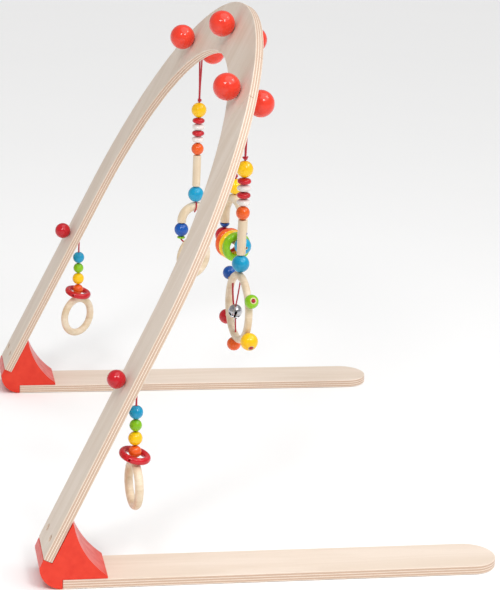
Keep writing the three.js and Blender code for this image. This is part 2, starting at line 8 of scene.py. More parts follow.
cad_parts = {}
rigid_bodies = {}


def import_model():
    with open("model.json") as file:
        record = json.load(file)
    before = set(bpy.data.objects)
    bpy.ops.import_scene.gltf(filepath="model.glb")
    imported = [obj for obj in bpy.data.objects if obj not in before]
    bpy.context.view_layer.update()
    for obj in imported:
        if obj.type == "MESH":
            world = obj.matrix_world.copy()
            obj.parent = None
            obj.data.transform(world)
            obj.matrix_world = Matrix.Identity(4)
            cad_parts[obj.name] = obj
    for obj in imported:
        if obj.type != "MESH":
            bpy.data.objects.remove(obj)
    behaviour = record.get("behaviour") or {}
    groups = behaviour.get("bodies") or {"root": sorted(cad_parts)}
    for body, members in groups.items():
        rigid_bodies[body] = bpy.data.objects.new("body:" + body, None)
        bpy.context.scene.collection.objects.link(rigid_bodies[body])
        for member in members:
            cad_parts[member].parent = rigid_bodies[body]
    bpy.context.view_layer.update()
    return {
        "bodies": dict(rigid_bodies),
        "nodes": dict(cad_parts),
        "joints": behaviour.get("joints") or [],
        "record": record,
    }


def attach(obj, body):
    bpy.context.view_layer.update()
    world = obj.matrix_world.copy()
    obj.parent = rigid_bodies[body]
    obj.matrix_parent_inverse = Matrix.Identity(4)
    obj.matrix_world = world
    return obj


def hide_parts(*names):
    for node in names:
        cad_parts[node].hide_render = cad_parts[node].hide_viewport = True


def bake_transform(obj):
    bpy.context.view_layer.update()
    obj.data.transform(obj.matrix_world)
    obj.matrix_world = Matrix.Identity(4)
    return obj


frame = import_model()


def shift(x, y, z):
    """A move, as a matrix."""
    return Matrix.Translation((x, y, z))


def turned_about(axis, angle):
    """A turn about "X", "Y" or "Z", as a matrix."""
    return Matrix.Rotation(angle, 4, axis)


MM = 0.001
GAP = 0.3

# ---- dimensions, in millimetres

PLY = 10.0
LEAN = radians(64.6)
BACK_X, LEG_Z = -246.0, 33.6
HALF_WIDTH, BOARD_WIDTH = 338.0, 62.0
ARCH_RADIUS, ARCH_CENTRE = 327.0, 257.0
INNER_RADIUS = ARCH_RADIUS - BOARD_WIDTH
MIDDLE_RADIUS = ARCH_RADIUS - BOARD_WIDTH / 2
SPLAY = radians(2.4)
LAP_FROM, LAP_TO, BOLT_ANGLE = (radians(a) for a in (26.6, 38.6, 32.7))

FOOT_WIDTH, FOOT_START, FOOT_END = 60.0, -225.3, 250.0
FOOT_MIDDLE = HALF_WIDTH - FOOT_WIDTH / 2
FOOT_SCREWS = {"rear": -216.0, "front": -201.0}
FOOT_SCREW_LENGTH, LEG_SCREW_LENGTH = 21.0, 31.0
LEG_SCREWS = {"outer": 322.0, "inner": 292.0}
LEG_SCREW_UP, SINK = 19.0, 1.2

KNOB_RADIUS, KNOB_BORE, KNOB_BORE_DEPTH, KNOB_GAP = 15.0, 3.3, 12.0, 2.6
BOLT_RADIUS, BOLT_INTO_KNOB = 3.0, 11.5
SIDE_KNOB_RADIUS, SIDE_KNOB_UP, SIDE_KNOB_ACROSS = 10.0, 197.7, 299.4
CORD_HOLE, CORD = 1.3, 1.0  # radii

SIDES = {"left": 1, "right": -1}
BOLTS = {"left": BOLT_ANGLE, "centre": 0.0, "right": -BOLT_ANGLE}
KNOT_Z = {"left": 419.0, "centre": 361.0, "right": 419.0}

BOW_SECTION, BOW_END_ROUNDING = 11.0, 0.6
LEFT_BOW = {"radius": 18.0, "straight": 1.5}
CENTRE_BOW = {"radius": 24.0, "straight": 10.0}
LEFT_BOW_HEADING, CENTRE_BOW_HEADING = 75, 164
GRASP_RING = {"middle": 22.9, "section": 9.2}
LOOSE_RING = {"middle": 13.4, "section": 9.0}
RED_RING = {"middle": 13.6, "section": 7.2}

UP = Vector((0, 0, 1))
ACROSS = Vector((0, 1, 0))
SLOPE = Vector((cos(LEAN), 0, sin(LEAN)))
THROUGH = Vector((sin(LEAN), 0, -cos(LEAN)))
BOARD = shift(BACK_X, 0, LEG_Z) @ Matrix((ACROSS, SLOPE, THROUGH)).transposed().to_4x4()


def on_board(across, up, through):
    return BOARD @ Vector((across, up, through))


# ---- camera

CAMERA_AT = Vector((-420.8, -2273.7, 899.8))
CAMERA_YAW, CAMERA_PITCH, CAMERA_ROLL = (radians(a) for a in (11.086, 16.442, 2.642))
CAMERA_LENS = 123.9

look = Vector((
    sin(CAMERA_YAW) * cos(CAMERA_PITCH),
    cos(CAMERA_YAW) * cos(CAMERA_PITCH),
    -sin(CAMERA_PITCH)))
camera = bpy.data.objects.new("camera", bpy.data.cameras.new("camera"))
camera.data.lens = CAMERA_LENS
camera.data.clip_end = 20
camera.rotation_mode = "QUATERNION"
roll = Matrix.Rotation(CAMERA_ROLL, 3, "Z").to_quaternion()
camera.rotation_quaternion = look.to_track_quat("-Z", "Y") @ roll
camera.location = CAMERA_AT * MM
bpy.context.scene.collection.objects.link(camera)
bpy.context.scene.camera = camera

# ---- materials


class Nodes:
    """A small builder for one material's node tree."""

    def __init__(self, name):
        self.material = bpy.data.materials.new(name)
        self.material.use_nodes = True
        self.tree = self.material.node_tree
        self.shader = self.tree.nodes["Principled BSDF"]
        self.object = self.add("ShaderNodeTexCoord").outputs["Object"]

    def add(self, kind, inputs=(), **settings):
        node = self.tree.nodes.new(kind)
        for key, value in settings.items():
            setattr(node, key, value)
        for key, value in dict(inputs).items():
            if isinstance(value, bpy.types.NodeSocket):
                self.tree.links.new(value, node.inputs[key])
            else:
                node.inputs[key].default_value = value
        return node

    def mapped(self, scale, rotation=(0, 0, 0), source=None, location=(0, 0, 0)):
        return self.add("ShaderNodeMapping", {
            "Vector": source or self.object, "Scale": scale, "Rotation": rotation, "Location": location,
        }).outputs["Vector"]

    def noise(self, vector, scale, detail=3.0, roughness=0.5, distortion=0.0):
        return self.add("ShaderNodeTexNoise", {
            "Vector": vector, "Scale": scale, "Detail": detail, "Roughness": roughness,
            "Distortion": distortion,
        }).outputs["Fac"]

    def math(self, operation, a, b=0.0, c=0.0):
        return self.add("ShaderNodeMath", {0: a, 1: b, 2: c}, operation=operation).outputs[0]

    def spread(self, value, low, high, to_low=0.0, to_high=1.0):
        return self.add("ShaderNodeMapRange", {
            "Value": value, "From Min": low, "From Max": high, "To Min": to_low, "To Max": to_high,
        }).outputs["Result"]

    def mix(self, factor, a, b):
        node = self.add("ShaderNodeMix", data_type="RGBA")
        for socket, value in zip((node.inputs[0], node.inputs[6], node.inputs[7]), (factor, a, b)):
            if isinstance(value, bpy.types.NodeSocket):
                self.tree.links.new(value, socket)
            else:
                socket.default_value = value
        return node.outputs[2]

    def ramp(self, factor, stops, interpolation="LINEAR"):
        node = self.add("ShaderNodeValToRGB", {"Fac": factor})
        ramp = node.color_ramp
        ramp.interpolation = interpolation
        while len(ramp.elements) < len(stops):
            ramp.elements.new(1.0)
        for element, (place, colour) in zip(ramp.elements, stops):
            element.position = place
            element.color = colour
        return node.outputs["Color"]

    def finish(self, colour, roughness, bump=None, distance=0.0001, strength=1.0, **constants):
        self.tree.links.new(colour, self.shader.inputs["Base Color"])
        if isinstance(roughness, bpy.types.NodeSocket):
            self.tree.links.new(roughness, self.shader.inputs["Roughness"])
        else:
            self.shader.inputs["Roughness"].default_value = roughness
        if bump is not None:
            node = self.add("ShaderNodeBump", {"Height": bump, "Distance": distance, "Strength": strength})
            self.tree.links.new(node.outputs["Normal"], self.shader.inputs["Normal"])
        for key, value in constants.items():
            self.shader.inputs[key.replace("_", " ")].default_value = value
        return self.material


def rgb(hexadecimal):
    """A colour as it looks on screen, turned into the linear values that nodes take."""
    values = [int(hexadecimal[i:i + 2], 16) / 255 for i in (0, 2, 4)]
    return tuple(v / 12.92 if v <= 0.04045 else ((v + 0.055) / 1.055) ** 2.4 for v in values) + (1.0,)


PLIES = 7
GLUE_HALF = 0.012  # half of a glue line, as a share of the board's thickness


def plywood(name, lean, origin, face, streak, seed):
    """Birch plywood: sliced veneer on the faces, layers on the edges.

    origin is the back face's height in the turned axes.
    """
    n = Nodes(name)
    turned = n.mapped((1, 1, 1), (0, lean, 0))
    split = n.add("ShaderNodeSeparateXYZ", {"Vector": turned})
    wavy = n.noise(n.mapped((6, 14, 14), source=turned), 1.0, 2.0)
    depth = n.math("DIVIDE", n.math("SUBTRACT", origin, split.outputs["Z"]), PLY * MM)
    depth = n.math("ADD", depth, n.spread(wavy, 0.3, 0.7, -GLUE_HALF, GLUE_HALF))

    figure = n.noise(n.mapped((5, 46, 46), source=turned, location=(seed, seed, 0)), 1.0, 4.0, 0.55, 0.6)
    fine = n.noise(n.mapped((26, 900, 900), source=turned, location=(0, seed, 0)), 1.0, 3.0, 0.6)
    pores = n.noise(n.mapped((160, 2600, 2600), source=turned, location=(seed, 0, 0)), 1.0, 1.0)
    veneer = n.mix(n.spread(figure, 0.36, 0.66), face, streak)
    veneer = n.mix(n.spread(fine, 0.42, 0.72, 0.0, 0.30), veneer, streak)
    veneer = n.mix(n.spread(pores, 0.66, 0.78, 0.0, 0.22), veneer, rgb("a98763"))

    pale, deep, glue = rgb("ecdccb"), rgb("d0b19a"), rgb("a98268")
    layers = [(0.0, pale)]
    for i in range(1, PLIES):
        layers += [(i / PLIES - GLUE_HALF, glue), (i / PLIES + GLUE_HALF, deep if i % 2 else pale)]
    edge = n.ramp(depth, layers, "CONSTANT")
    end_grain = n.noise(n.mapped((700, 700, 700), source=turned), 1.0, 2.0)
    edge = n.mix(n.spread(end_grain, 0.5, 0.8, 0.0, 0.35), edge, deep)
    outer = n.math("MINIMUM", depth, n.math("SUBTRACT", 1.0, depth))
    inside = n.math("GREATER_THAN", outer, 1 / PLIES - GLUE_HALF)
    colour = n.mix(inside, veneer, edge)
    grooves = n.math("ADD", n.math("MULTIPLY", fine, 0.6), n.math("MULTIPLY", pores, -0.5))
    return n.finish(
        colour, n.spread(fine, 0.3, 0.7, 0.42, 0.58), grooves, 0.00012, 0.5,
        Specular_IOR_Level=0.4, Coat_Weight=0.12, Coat_Roughness=0.35)


def turned_wood(name, scale, light, dark, seed):
    """Pale close-grained hardwood under a clear satin lacquer; scale stretches its grain."""
    n = Nodes(name)
    along = n.mapped(scale, location=(seed, 2 * seed, 3 * seed))
    figure = n.noise(along, 0.12, 3.0, 0.5, 0.8)
    fine = n.noise(along, 1.0, 4.0, 0.6)
    flecks = n.noise(n.mapped([s * 2.6 for s in scale], location=(0, seed, 0)), 1.0, 1.0)
    colour = n.mix(n.spread(figure, 0.35, 0.68), light, dark)
    colour = n.mix(n.spread(fine, 0.40, 0.75, 0.0, 0.45), colour, dark)
    colour = n.mix(n.spread(flecks, 0.67, 0.77, 0.0, 0.45), colour, rgb("a57a4c"))
    return n.finish(
        colour, n.spread(fine, 0.3, 0.7, 0.36, 0.52), fine, 0.00010, 0.4,
        Specular_IOR_Level=0.45, Coat_Weight=0.2, Coat_Roughness=0.25)


def lacquer(name, colour, deep, roughness=0.22, grain=(90, 90, 12), seed=0.0, coat=0.6):
    """Coloured lacquer on wood: nearly even, with the grain just telling through it."""
    n = Nodes(name)
    cloud = n.noise(n.mapped((1, 1, 1), location=(seed, seed, seed)), 95.0, 2.0)
    pores = n.noise(n.mapped([g * 14 for g in grain], location=(seed, 0, seed)), 1.0, 2.0, 0.6)
    peel = n.noise(n.object, 900.0, 2.0)
    shade = n.mix(n.spread(cloud, 0.35, 0.68), colour, deep)
    shade = n.mix(n.spread(pores, 0.58, 0.74, 0.0, 0.22), shade, deep)
    height = n.math("ADD", n.math("MULTIPLY", pores, 0.6), n.math("MULTIPLY", peel, 0.4))
    return n.finish(
        shade, n.spread(cloud, 0.3, 0.7, roughness - 0.04, roughness + 0.07), height, 0.00003, 0.35,
        Specular_IOR_Level=0.2, Coat_Weight=coat, Coat_Roughness=0.04)


def braid(name, colour, deep):
    """Round braided cord, darker red in the hollows between its strands as painted shade; its UVs run once
    round and once along every two diameters.
    """
    n = Nodes(name)
    uv = n.add("ShaderNodeTexCoord").outputs["UV"]
    split = n.add("ShaderNodeSeparateXYZ", {"Vector": uv})
    turns = n.math("MULTIPLY", split.outputs["X"], 4 * tau)
    advance = n.math("MULTIPLY", split.outputs["Y"], 2 * tau)
    right = n.math("SINE", n.math("ADD", turns, advance))
    left = n.math("SINE", n.math("SUBTRACT", turns, advance))
    strands = n.math("MAXIMUM", right, left)
    fuzz = n.noise(n.object, 2600.0, 2.0)
    height = n.math("ADD", strands, n.math("MULTIPLY", fuzz, 0.5))
    # Painted shade: the colour runs to the darker red where the braid's height is low, in the hollows between
    # strands.
    shade = n.mix(n.spread(height, 0.0, 1.3), deep, colour)
    return n.finish(
        shade, n.spread(fuzz, 0.3, 0.7, 0.62, 0.85), height, 0.00018, 0.6,
        Specular_IOR_Level=0.3, Sheen_Weight=0.3, Sheen_Roughness=0.5)


def metal(name, colour, dark, roughness, brushed):
    """Plated or polished metal; brushed stretches its fine marks."""
    n = Nodes(name)
    marks = n.noise(n.mapped(brushed), 1.0, 3.0)
    cloud = n.noise(n.object, 140.0, 2.0)
    shade = n.mix(n.spread(cloud, 0.35, 0.7), colour, dark)
    return n.finish(
        shade, n.spread(marks, 0.3, 0.7, roughness - 0.05, roughness + 0.10), marks, 0.00002, 0.3,
        Metallic=1.0)


ARCH_ORIGIN = (-BACK_X * sin(LEAN) + LEG_Z * cos(LEAN)) * MM
FACE, STREAK = rgb("ebdccd"), rgb("e0cebb")
arch_ply = plywood("arch_plywood", LEAN, ARCH_ORIGIN, FACE, STREAK, 3.0)
foot_ply = plywood("foot_plywood", 0.0, PLY * MM, rgb("efdfd0"), rgb("e6d4c2"), 11.0)
BEECH, BEECH_DARK = rgb("eddcc4"), rgb("dac3a0")
upright_wood = turned_wood("natural_wood_upright", (900, 900, 70), BEECH, BEECH_DARK, 1.7)
ring_wood = turned_wood("natural_wood_ring", (110, 900, 900), BEECH, BEECH_DARK, 4.1)
bow_wood = turned_wood("natural_wood_bow", (700, 700, 160), rgb("eedec6"), rgb("dbc6a4"), 7.9)
bare_wood = turned_wood("bare_bore", (800, 800, 300), rgb("e9d2a6"), rgb("c9a676"), 2.3)

red = lacquer("red_knob_lacquer", rgb("f03f2a"), rgb("e43622"), 0.2, seed=1.0)
block_red = lacquer(
    "red_block_paint", rgb("e63f2a"), rgb("de3623"), 0.34, grain=(9, 90, 90), seed=4.0, coat=0.15)
crimson = lacquer("crimson_lacquer", rgb("cf1525"), rgb("bd0d1e"), 0.2, seed=6.0)
yellow = lacquer("yellow_lacquer", rgb("ffcd00"), rgb("fabd00"), 0.2, seed=3.0)
orange = lacquer("orange_lacquer", rgb("f2641a"), rgb("e65610"), 0.22, seed=8.0)
green = lacquer("green_lacquer", rgb("8ecb0c"), rgb("7cb606"), 0.22, seed=9.0)
sky_blue = lacquer("sky_blue_lacquer", rgb("0aa3cf"), rgb("0490be"), 0.2, seed=12.0)
deep_blue = lacquer("deep_blue_lacquer", rgb("0657b2"), rgb("03479a"), 0.2, seed=14.0)
white = lacquer("white_lacquer", rgb("f1ece8"), rgb("e4dcd6"), 0.3, seed=15.0, coat=0.2)
# The darker red is the painted shade in the hollows of the braid.
cord_red = braid("red_braided_cord", rgb("cf2038"), rgb("98101f"))
bell_metal = metal("bell_nickel", rgb("c9c9cd"), rgb("a4a5aa"), 0.14, (400, 400, 400))
# Painted shade: the bell's inner wall and its clapper are near-black metal, standing in for the shade inside
# the shell.
bell_inside_painted_shade = metal("bell_inside_painted_shade", rgb("3a3a3e"), rgb("1c1c20"), 0.45, (400, 400, 400))
steel = metal("zinc_steel", rgb("b4b6b8"), rgb("8c8f92"), 0.32, (300, 300, 1600))

# Each finish's material and slot.
FINISHES = {
    "crimson": (crimson, "crimson_lacquer"), "yellow": (yellow, "yellow_lacquer"),
    "orange": (orange, "orange_lacquer"), "green": (green, "green_lacquer"),
    "sky_blue": (sky_blue, "sky_blue_lacquer"), "deep_blue": (deep_blue, "deep_blue_lacquer"),
    "white": (white, "white_lacquer"), "natural": (ring_wood, "natural_wood"),
}

# ---- mesh helpers


SHARP_ANGLE = radians(38)


def add_piece(name, bm, materials, body, replaces=(), place=Matrix()):
    """Turns a bmesh in millimetres into a piece that rides on a body. A piece with the body None is left
    unattached.
    """
    bmesh.ops.transform(bm, matrix=Matrix.Scale(MM, 4) @ place, verts=bm.verts)
    bmesh.ops.recalc_face_normals(bm, faces=bm.faces)
    mesh = bpy.data.meshes.new(name)
    bm.to_mesh(mesh)
    bm.free()
    for polygon in mesh.polygons:
        polygon.use_smooth = True
    mesh.set_sharp_from_angle(angle=SHARP_ANGLE)
    for material in materials:
        mesh.materials.append(material)
    piece = bpy.data.objects.new(name, mesh)
    bpy.context.scene.collection.objects.link(piece)
    if body:
        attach(piece, body)
    if replaces:
        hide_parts(*replaces)
    return piece


def painted(points, index=0):
    """Profile points of (radius, height) with a material's index added."""
    return [(radius, height, index) for radius, height in points]


def revolve(bm, profile, segments=48, place=Matrix(), closed=False):
    """Turns a profile of (radius, height, material) points about z; closed joins its ends."""
    rings = []
    for radius, height, _ in profile:
        if radius < 1e-6:
            rings.append([bm.verts.new(place @ Vector((0, 0, height)))])
            continue
        rings.append([bm.verts.new(place @ Vector((
            radius * cos(tau * i / segments), radius * sin(tau * i / segments), height)))
            for i in range(segments)])
    pairs = list(zip(range(len(rings) - 1), range(1, len(rings))))
    if closed:
        pairs.append((len(rings) - 1, 0))
    for a, b in pairs:
        for i in range(segments):
            j = (i + 1) % segments
            corner = [rings[a][i % len(rings[a])], rings[a][j % len(rings[a])],
                      rings[b][j % len(rings[b])], rings[b][i % len(rings[b])]]
            corner = [v for k, v in enumerate(corner) if v not in corner[:k]]
            if len(corner) >= 3:
                bm.faces.new(corner).material_index = profile[a][2]


def oval(radius, half_height, start, end, steps, power=2.0):
    """Points on a rounded side, from angle start to end, as (radius, height)."""
    points = []
    for i in range(steps + 1):
        angle = start + (end - start) * i / steps
        c, s = cos(angle), sin(angle)
        points.append((
            radius * abs(c) ** (2 / power),
            half_height * copysign(abs(s) ** (2 / power), s)))
    return points


def bead_profile(radius, half_height=None, bore=CORD_HOLE, power=2.0, steps=26, chamfer=0.35):
    """A bored bead: lacquered outside, bare wood inside its bore (material 1)."""
    half_height = half_height or radius
    lip = bore + chamfer
    tilt = acos((lip / radius) ** (power / 2))
    outside = oval(radius, half_height, -tilt, tilt, steps, power)
    top = outside[-1][1]
    inside = [
        (bore + 0.1, top - 0.12), (bore, top - chamfer), (bore, chamfer - top), (bore + 0.1, 0.12 - top)]
    return painted(outside[:-1]) + painted(outside[-1:] + inside, 1)


def add_bead(name, radius, centre, finish, body, replaced, axis=UP, **shape):
    """A bored bead about an axis; shape goes to bead_profile."""
    material, slot = FINISHES[finish]
    bm = bmesh.new()
    turn = axis.to_track_quat("Z", "Y").to_matrix().to_4x4()
    revolve(bm, bead_profile(radius, **shape), 56, closed=True)
    place = Matrix.Translation(centre) @ turn
    return add_piece(name, bm, (material, bare_wood), body, (replaced,), place)


def smooth_path(points, step):
    """A Catmull-Rom curve through the points, sampled every `step` millimetres or so."""
    points = [Vector(p) for p in points]
    padded = [2 * points[0] - points[1], *points, 2 * points[-1] - points[-2]]
    path = []
    for a, b, c, d in zip(padded, padded[1:], padded[2:], padded[3:]):
        ends = [0.0]
        for p, q in ((a, b), (b, c), (c, d)):
            ends.append(ends[-1] + max((q - p).length, 1e-6) ** 0.5)
        steps = max(1, round((c - b).length / step))
        for i in range(steps):
            t = ends[1] + (ends[2] - ends[1]) * i / steps
            ab = a.lerp(b, (t - ends[0]) / (ends[1] - ends[0]))
            bc = b.lerp(c, (t - ends[1]) / (ends[2] - ends[1]))
            cd = c.lerp(d, (t - ends[2]) / (ends[3] - ends[2]))
            abc = ab.lerp(bc, (t - ends[0]) / (ends[2] - ends[0]))
            bcd = bc.lerp(cd, (t - ends[1]) / (ends[3] - ends[1]))
            path.append(abc.lerp(bcd, (t - ends[1]) / (ends[2] - ends[1])))
    path.append(points[-1])
    return path


def frames(path, normal, closed=False):
    """Frames along a path that don't twist, each as (point, normal, binormal)."""
    result = []
    last = len(path) - 1
    for i, point in enumerate(path):
        before = path[i - 1] if i or closed else point
        after = path[(i + 1) % len(path)] if i < last or closed else point
        tangent = (after - before).normalized()
        normal = (normal - tangent * normal.dot(tangent)).normalized()
        result.append((point, normal, tangent.cross(normal)))
    return result


def sweep(bm, path, section, normal=UP, closed=False, cap=0.0, pitch=None):
    """Sweeps a section of (across, through) points along a path; cap rounds the ends by that much."""
    path = [Vector(p) for p in path]
    stations = [(frame, 1.0) for frame in frames(path, normal, closed)]
    if cap:
        (first, n1, b1), (last, n2, b2) = stations[0][0], stations[-1][0]
        out1, out2 = (path[0] - path[1]).normalized(), (path[-1] - path[-2]).normalized()
        size = max(hypot(*p) for p in section)
        head, tail = [], []
        for i in range(1, 5):
            angle = pi / 2 * i / 4
            scale = 1 - cap / size * (1 - cos(angle))
            head.insert(0, ((first + out1 * cap * sin(angle), n1, b1), scale))
            tail.append(((last + out2 * cap * sin(angle), n2, b2), scale))
        stations = head + stations + tail
    rings = [[bm.verts.new(p + (n * x + b * y) * scale) for x, y in section] for (p, n, b), scale in stations]
    uv = bm.loops.layers.uv.verify() if pitch else None
    along = [0.0]
    for a, b in zip(stations, stations[1:]):
        along.append(along[-1] + (b[0][0] - a[0][0]).length)
    count = len(section)
    for k in range(len(rings) if closed else len(rings) - 1):
        near, far = rings[k], rings[(k + 1) % len(rings)]
        for i in range(count):
            j = (i + 1) % count
            face = bm.faces.new((near[i], near[j], far[j], far[i]))
            if uv:
                places = ((i, k), (i + 1, k), (i + 1, k + 1), (i, k + 1))
                for loop, (u, v) in zip(face.loops, places):
                    loop[uv].uv = (u / count, along[min(v, len(along) - 1)] / pitch)
    if not closed:
        bm.faces.new(rings[0])
        bm.faces.new(rings[-1])


def circle(radius, sides):
    angles = [tau * i / sides for i in range(sides)]
    return [(radius * cos(a), radius * sin(a)) for a in angles]


def short_cord(name, route, radius, body, normal=ACROSS):
    """A short end or link of cord with rounded ends, through a few points."""
    bm = bmesh.new()
    sweep(bm, smooth_path(route, 0.6), circle(radius, 14), normal, cap=0.4, pitch=4 * CORD)
    return add_piece(name, bm, (cord_red,), body)


def add_cord(name, path, radius, body, replaces=(), normal=ACROSS):
    bm = bmesh.new()
    sweep(bm, path, circle(radius, 14), normal, cap=radius * 0.6, pitch=4 * radius)
    return add_piece(name, bm, (cord_red,), body, replaces)


def thinned(path, count=36):
    """The path's points in metres, thinned out but closer together where it bends."""
    steps = [far - near for near, far in zip(path, path[1:])]
    length = sum(step.length for step in steps)
    reach = [0.0]
    for i, step in enumerate(steps):
        turn = steps[i - 1].angle(step, 0.0) if i else 0.0
        reach.append(reach[-1] + step.length / length * 3 + turn)
    kept = [0]
    for i, value in enumerate(reach):
        if value >= reach[-1] * len(kept) / (count - 1) and i > kept[-1]:
            kept.append(i)
    kept[-1] = len(path) - 1
    return [tuple(path[i] * MM) for i in kept]


def heading_frame(origin, degrees):
    """x is a flat heading, as an angle from +Y towards +X, and z is up."""
    angle = radians(degrees)
    along = Vector((sin(angle), cos(angle), 0))
    return Matrix.Translation(origin) @ Matrix((along, UP.cross(along), UP)).transposed().to_4x4()


def prism(bm, outline, low, high, place=Matrix(), upper=None):
    """A solid between two heights on a flat outline; upper is the outline at the top, if it differs."""
    floor = [bm.verts.new(place @ Vector((x, y, low))) for x, y in outline]
    roof = [bm.verts.new(place @ Vector((x, y, high))) for x, y in upper or outline]
    bm.faces.new(floor)
    bm.faces.new(roof[::-1])
    for i in range(len(outline)):
        j = (i + 1) % len(outline)
        bm.faces.new((floor[i], floor[j], roof[j], roof[i]))


def rectangle(half_length, half_width):
    return [(-half_length, -half_width), (half_length, -half_width), (half_length, half_width),
            (-half_length, half_width)]


def applied(piece):
    """Applies a piece's modifiers to its mesh."""
    evaluated = piece.evaluated_get(bpy.context.evaluated_depsgraph_get())
    mesh = bpy.data.meshes.new_from_object(evaluated)
    piece.modifiers.clear()
    old = piece.data
    piece.data = mesh
    mesh.name = piece.name
    bpy.data.meshes.remove(old)


def round_cutter(points, place=Matrix()):
    """A turned solid for carve, from (radius, height) points."""
    bm = bmesh.new()
    revolve(bm, painted(points), 32, place)
    return bm


def drill(radius, low, high, place=Matrix()):
    """A round hole's cutter between two heights."""
    return round_cutter([(0, low), (radius, low), (radius, high), (0, high)], place)


def carve(piece, cutters):
    """Takes solids, each a bmesh in millimetres, away from a piece."""
    tools = []
    for bm in cutters:
        bmesh.ops.transform(bm, matrix=Matrix.Scale(MM, 4), verts=bm.verts)
        bmesh.ops.recalc_face_normals(bm, faces=bm.faces)
        mesh = bpy.data.meshes.new("cutter")
        bm.to_mesh(mesh)
        bm.free()
        tool = bpy.data.objects.new("cutter", mesh)
        bpy.context.scene.collection.objects.link(tool)
        tools.append(tool)
        cut = piece.modifiers.new("cut", "BOOLEAN")
        cut.operation, cut.solver, cut.object = "DIFFERENCE", "EXACT", tool
    applied(piece)
    for tool in tools:
        mesh = tool.data
        bpy.data.objects.remove(tool)
        bpy.data.meshes.remove(mesh)


def soften(piece, width, segments=3, angle=32):
    """Rounds a piece's hard edges."""
    bevel = piece.modifiers.new("soften", "BEVEL")
    bevel.width, bevel.segments = width * MM, segments
    bevel.limit_method, bevel.angle_limit = "ANGLE", radians(angle)
    bevel.harden_normals = True
    applied(piece)


# ---- cords

HANG_THROUGH = PLY + KNOB_GAP / 2
LOOP_RADIUS = 4.9


def bolt_place(name):
    angle = BOLTS[name]
    return MIDDLE_RADIUS * sin(angle), ARCH_CENTRE + MIDDLE_RADIUS * cos(angle)


hooks = {name: on_board(*bolt_place(name), HANG_THROUGH) for name in BOLTS}


def knot(name, centre, body, size=0.62, turn=0.0, tails=True):
    """An overhand knot pulled tight, with two short cut ends."""
    bm = bmesh.new()
    stretch = Matrix.Diagonal((size, size, size * 1.5, 1))
    spin = Matrix.Translation(centre) @ turned_about("Z", turn) @ stretch
    steps = 72
    path = [spin @ Vector((
        sin(t) + 2 * sin(2 * t), cos(t) - 2 * cos(2 * t), -sin(3 * t)))
        for t in (tau * i / steps for i in range(steps))]
    sweep(bm, path, circle(CORD * 0.95, 12), closed=True, pitch=4 * CORD)
    for side in (-1, 1) if tails else ():
        ends = [spin @ Vector(p) for p in (
            (0.9 * side, 0.3, 0), (3.2 * side, 0.9 * side, 0.5), (4.6 * side, 1.6 * side, 1.5))]
        sweep(bm, smooth_path(ends, 0.5), circle(CORD * 0.85, 12), cap=0.3, pitch=4 * CORD)
    return add_piece(name, bm, (cord_red,), body)


for name in BOLTS:
    across, up = bolt_place(name)
    hook, knot_z = hooks[name], KNOT_Z[name]
    drop = hook.z - knot_z
    strand = [
        (1.15, drop - 1.5), (1.6, drop * 0.88), (2.4, drop * 0.72), (5.4, drop * 0.5),
        (7.6, 20), (8.4, 11), (7, 4.5)]
    rising = [Vector((hook.x, across + out, hook.z - down)) for out, down in strand]
    falling = [Vector((hook.x, across - out, hook.z - down)) for out, down in strand]
    over = []
    for degrees in range(0, 181, 30):
        a = radians(degrees)
        out, rise = LOOP_RADIUS * cos(a), LOOP_RADIUS * sin(a)
        over.append(on_board(across + out, up + rise, HANG_THROUGH))
    route = smooth_path([*rising, *over, *reversed(falling)], 1.2)
    loop = add_cord(f"loop_cord_{name}", route, CORD, f"loop_{name}", (f"cord_{name}",))
    tie = knot(f"loop_knot_{name}", (hook.x, across, knot_z), f"loop_{name}", turn=0.7 * (1 + across / 160))
    thinned(route)

# ---- side cords

SIDE_BEADS = {"sky_blue": 7.5, "green": 6.6, "yellow": 7.6, "orange": 6.9}
SIDE_TOP_Z = 187.5
SIDE_BEND, SIDE_LEAD, SIDE_START = 4.0, 1.2, 0.6
bend_end = SIDE_LEAD * THROUGH + SIDE_BEND * Vector((1 + THROUGH.z, 0, -THROUGH.x))
side_beads_bottom = SIDE_TOP_Z - 2 * sum(SIDE_BEADS.values()) - 3 * GAP

for name, side in SIDES.items():
    across = side * SIDE_KNOB_ACROSS
    mouth = on_board(across, SIDE_KNOB_UP, PLY)
    bottom = side_beads_bottom + 1
    bend = []
    for i in range(6):
        angle = pi / 2 - LEAN + LEAN * i / 5
        bend.append(mouth + bend_end + SIDE_BEND * Vector((sin(angle) - 1, 0, cos(angle))))
    hanging = bend[-1]
    lower = [Vector((hanging.x, across, hanging.z + (bottom - hanging.z) * i / 5)) for i in range(1, 6)]
    route = smooth_path([on_board(across, SIDE_KNOB_UP, PLY + SIDE_START), *bend, *lower], 1.0)
    cord = add_cord(f"side_cord_{name}", route, CORD, f"side_string_{name}", (f"cord_side_{name}",))
    thinned(route, 24)
    tail = [on_board(across, SIDE_KNOB_UP, t) for t in (-19.6, -10, 0, 5, PLY + SIDE_START - 0.1)]
    add_cord(f"side_cord_{name}_through_leg", smooth_path(tail, 1.0), CORD, "frame")

# ---- arch boards

SEAM = 0.5  # the width of a lap joint's groove
LEG_CELLS = 12
ARC_STEP = radians(1.2)


def arc_stations(low, high):
    """Outer and inner edge points of the round top, between two angles from its highest point."""
    count = round((high - low) / ARC_STEP)
    middle = Vector((0, ARCH_CENTRE))
    stations = []
    for i in range(count + 1):
        angle = low + (high - low) * i / count
        direction = Vector((sin(angle), cos(angle)))
        stations.append((middle + direction * ARCH_RADIUS, middle + direction * INNER_RADIUS, angle))
    return stations


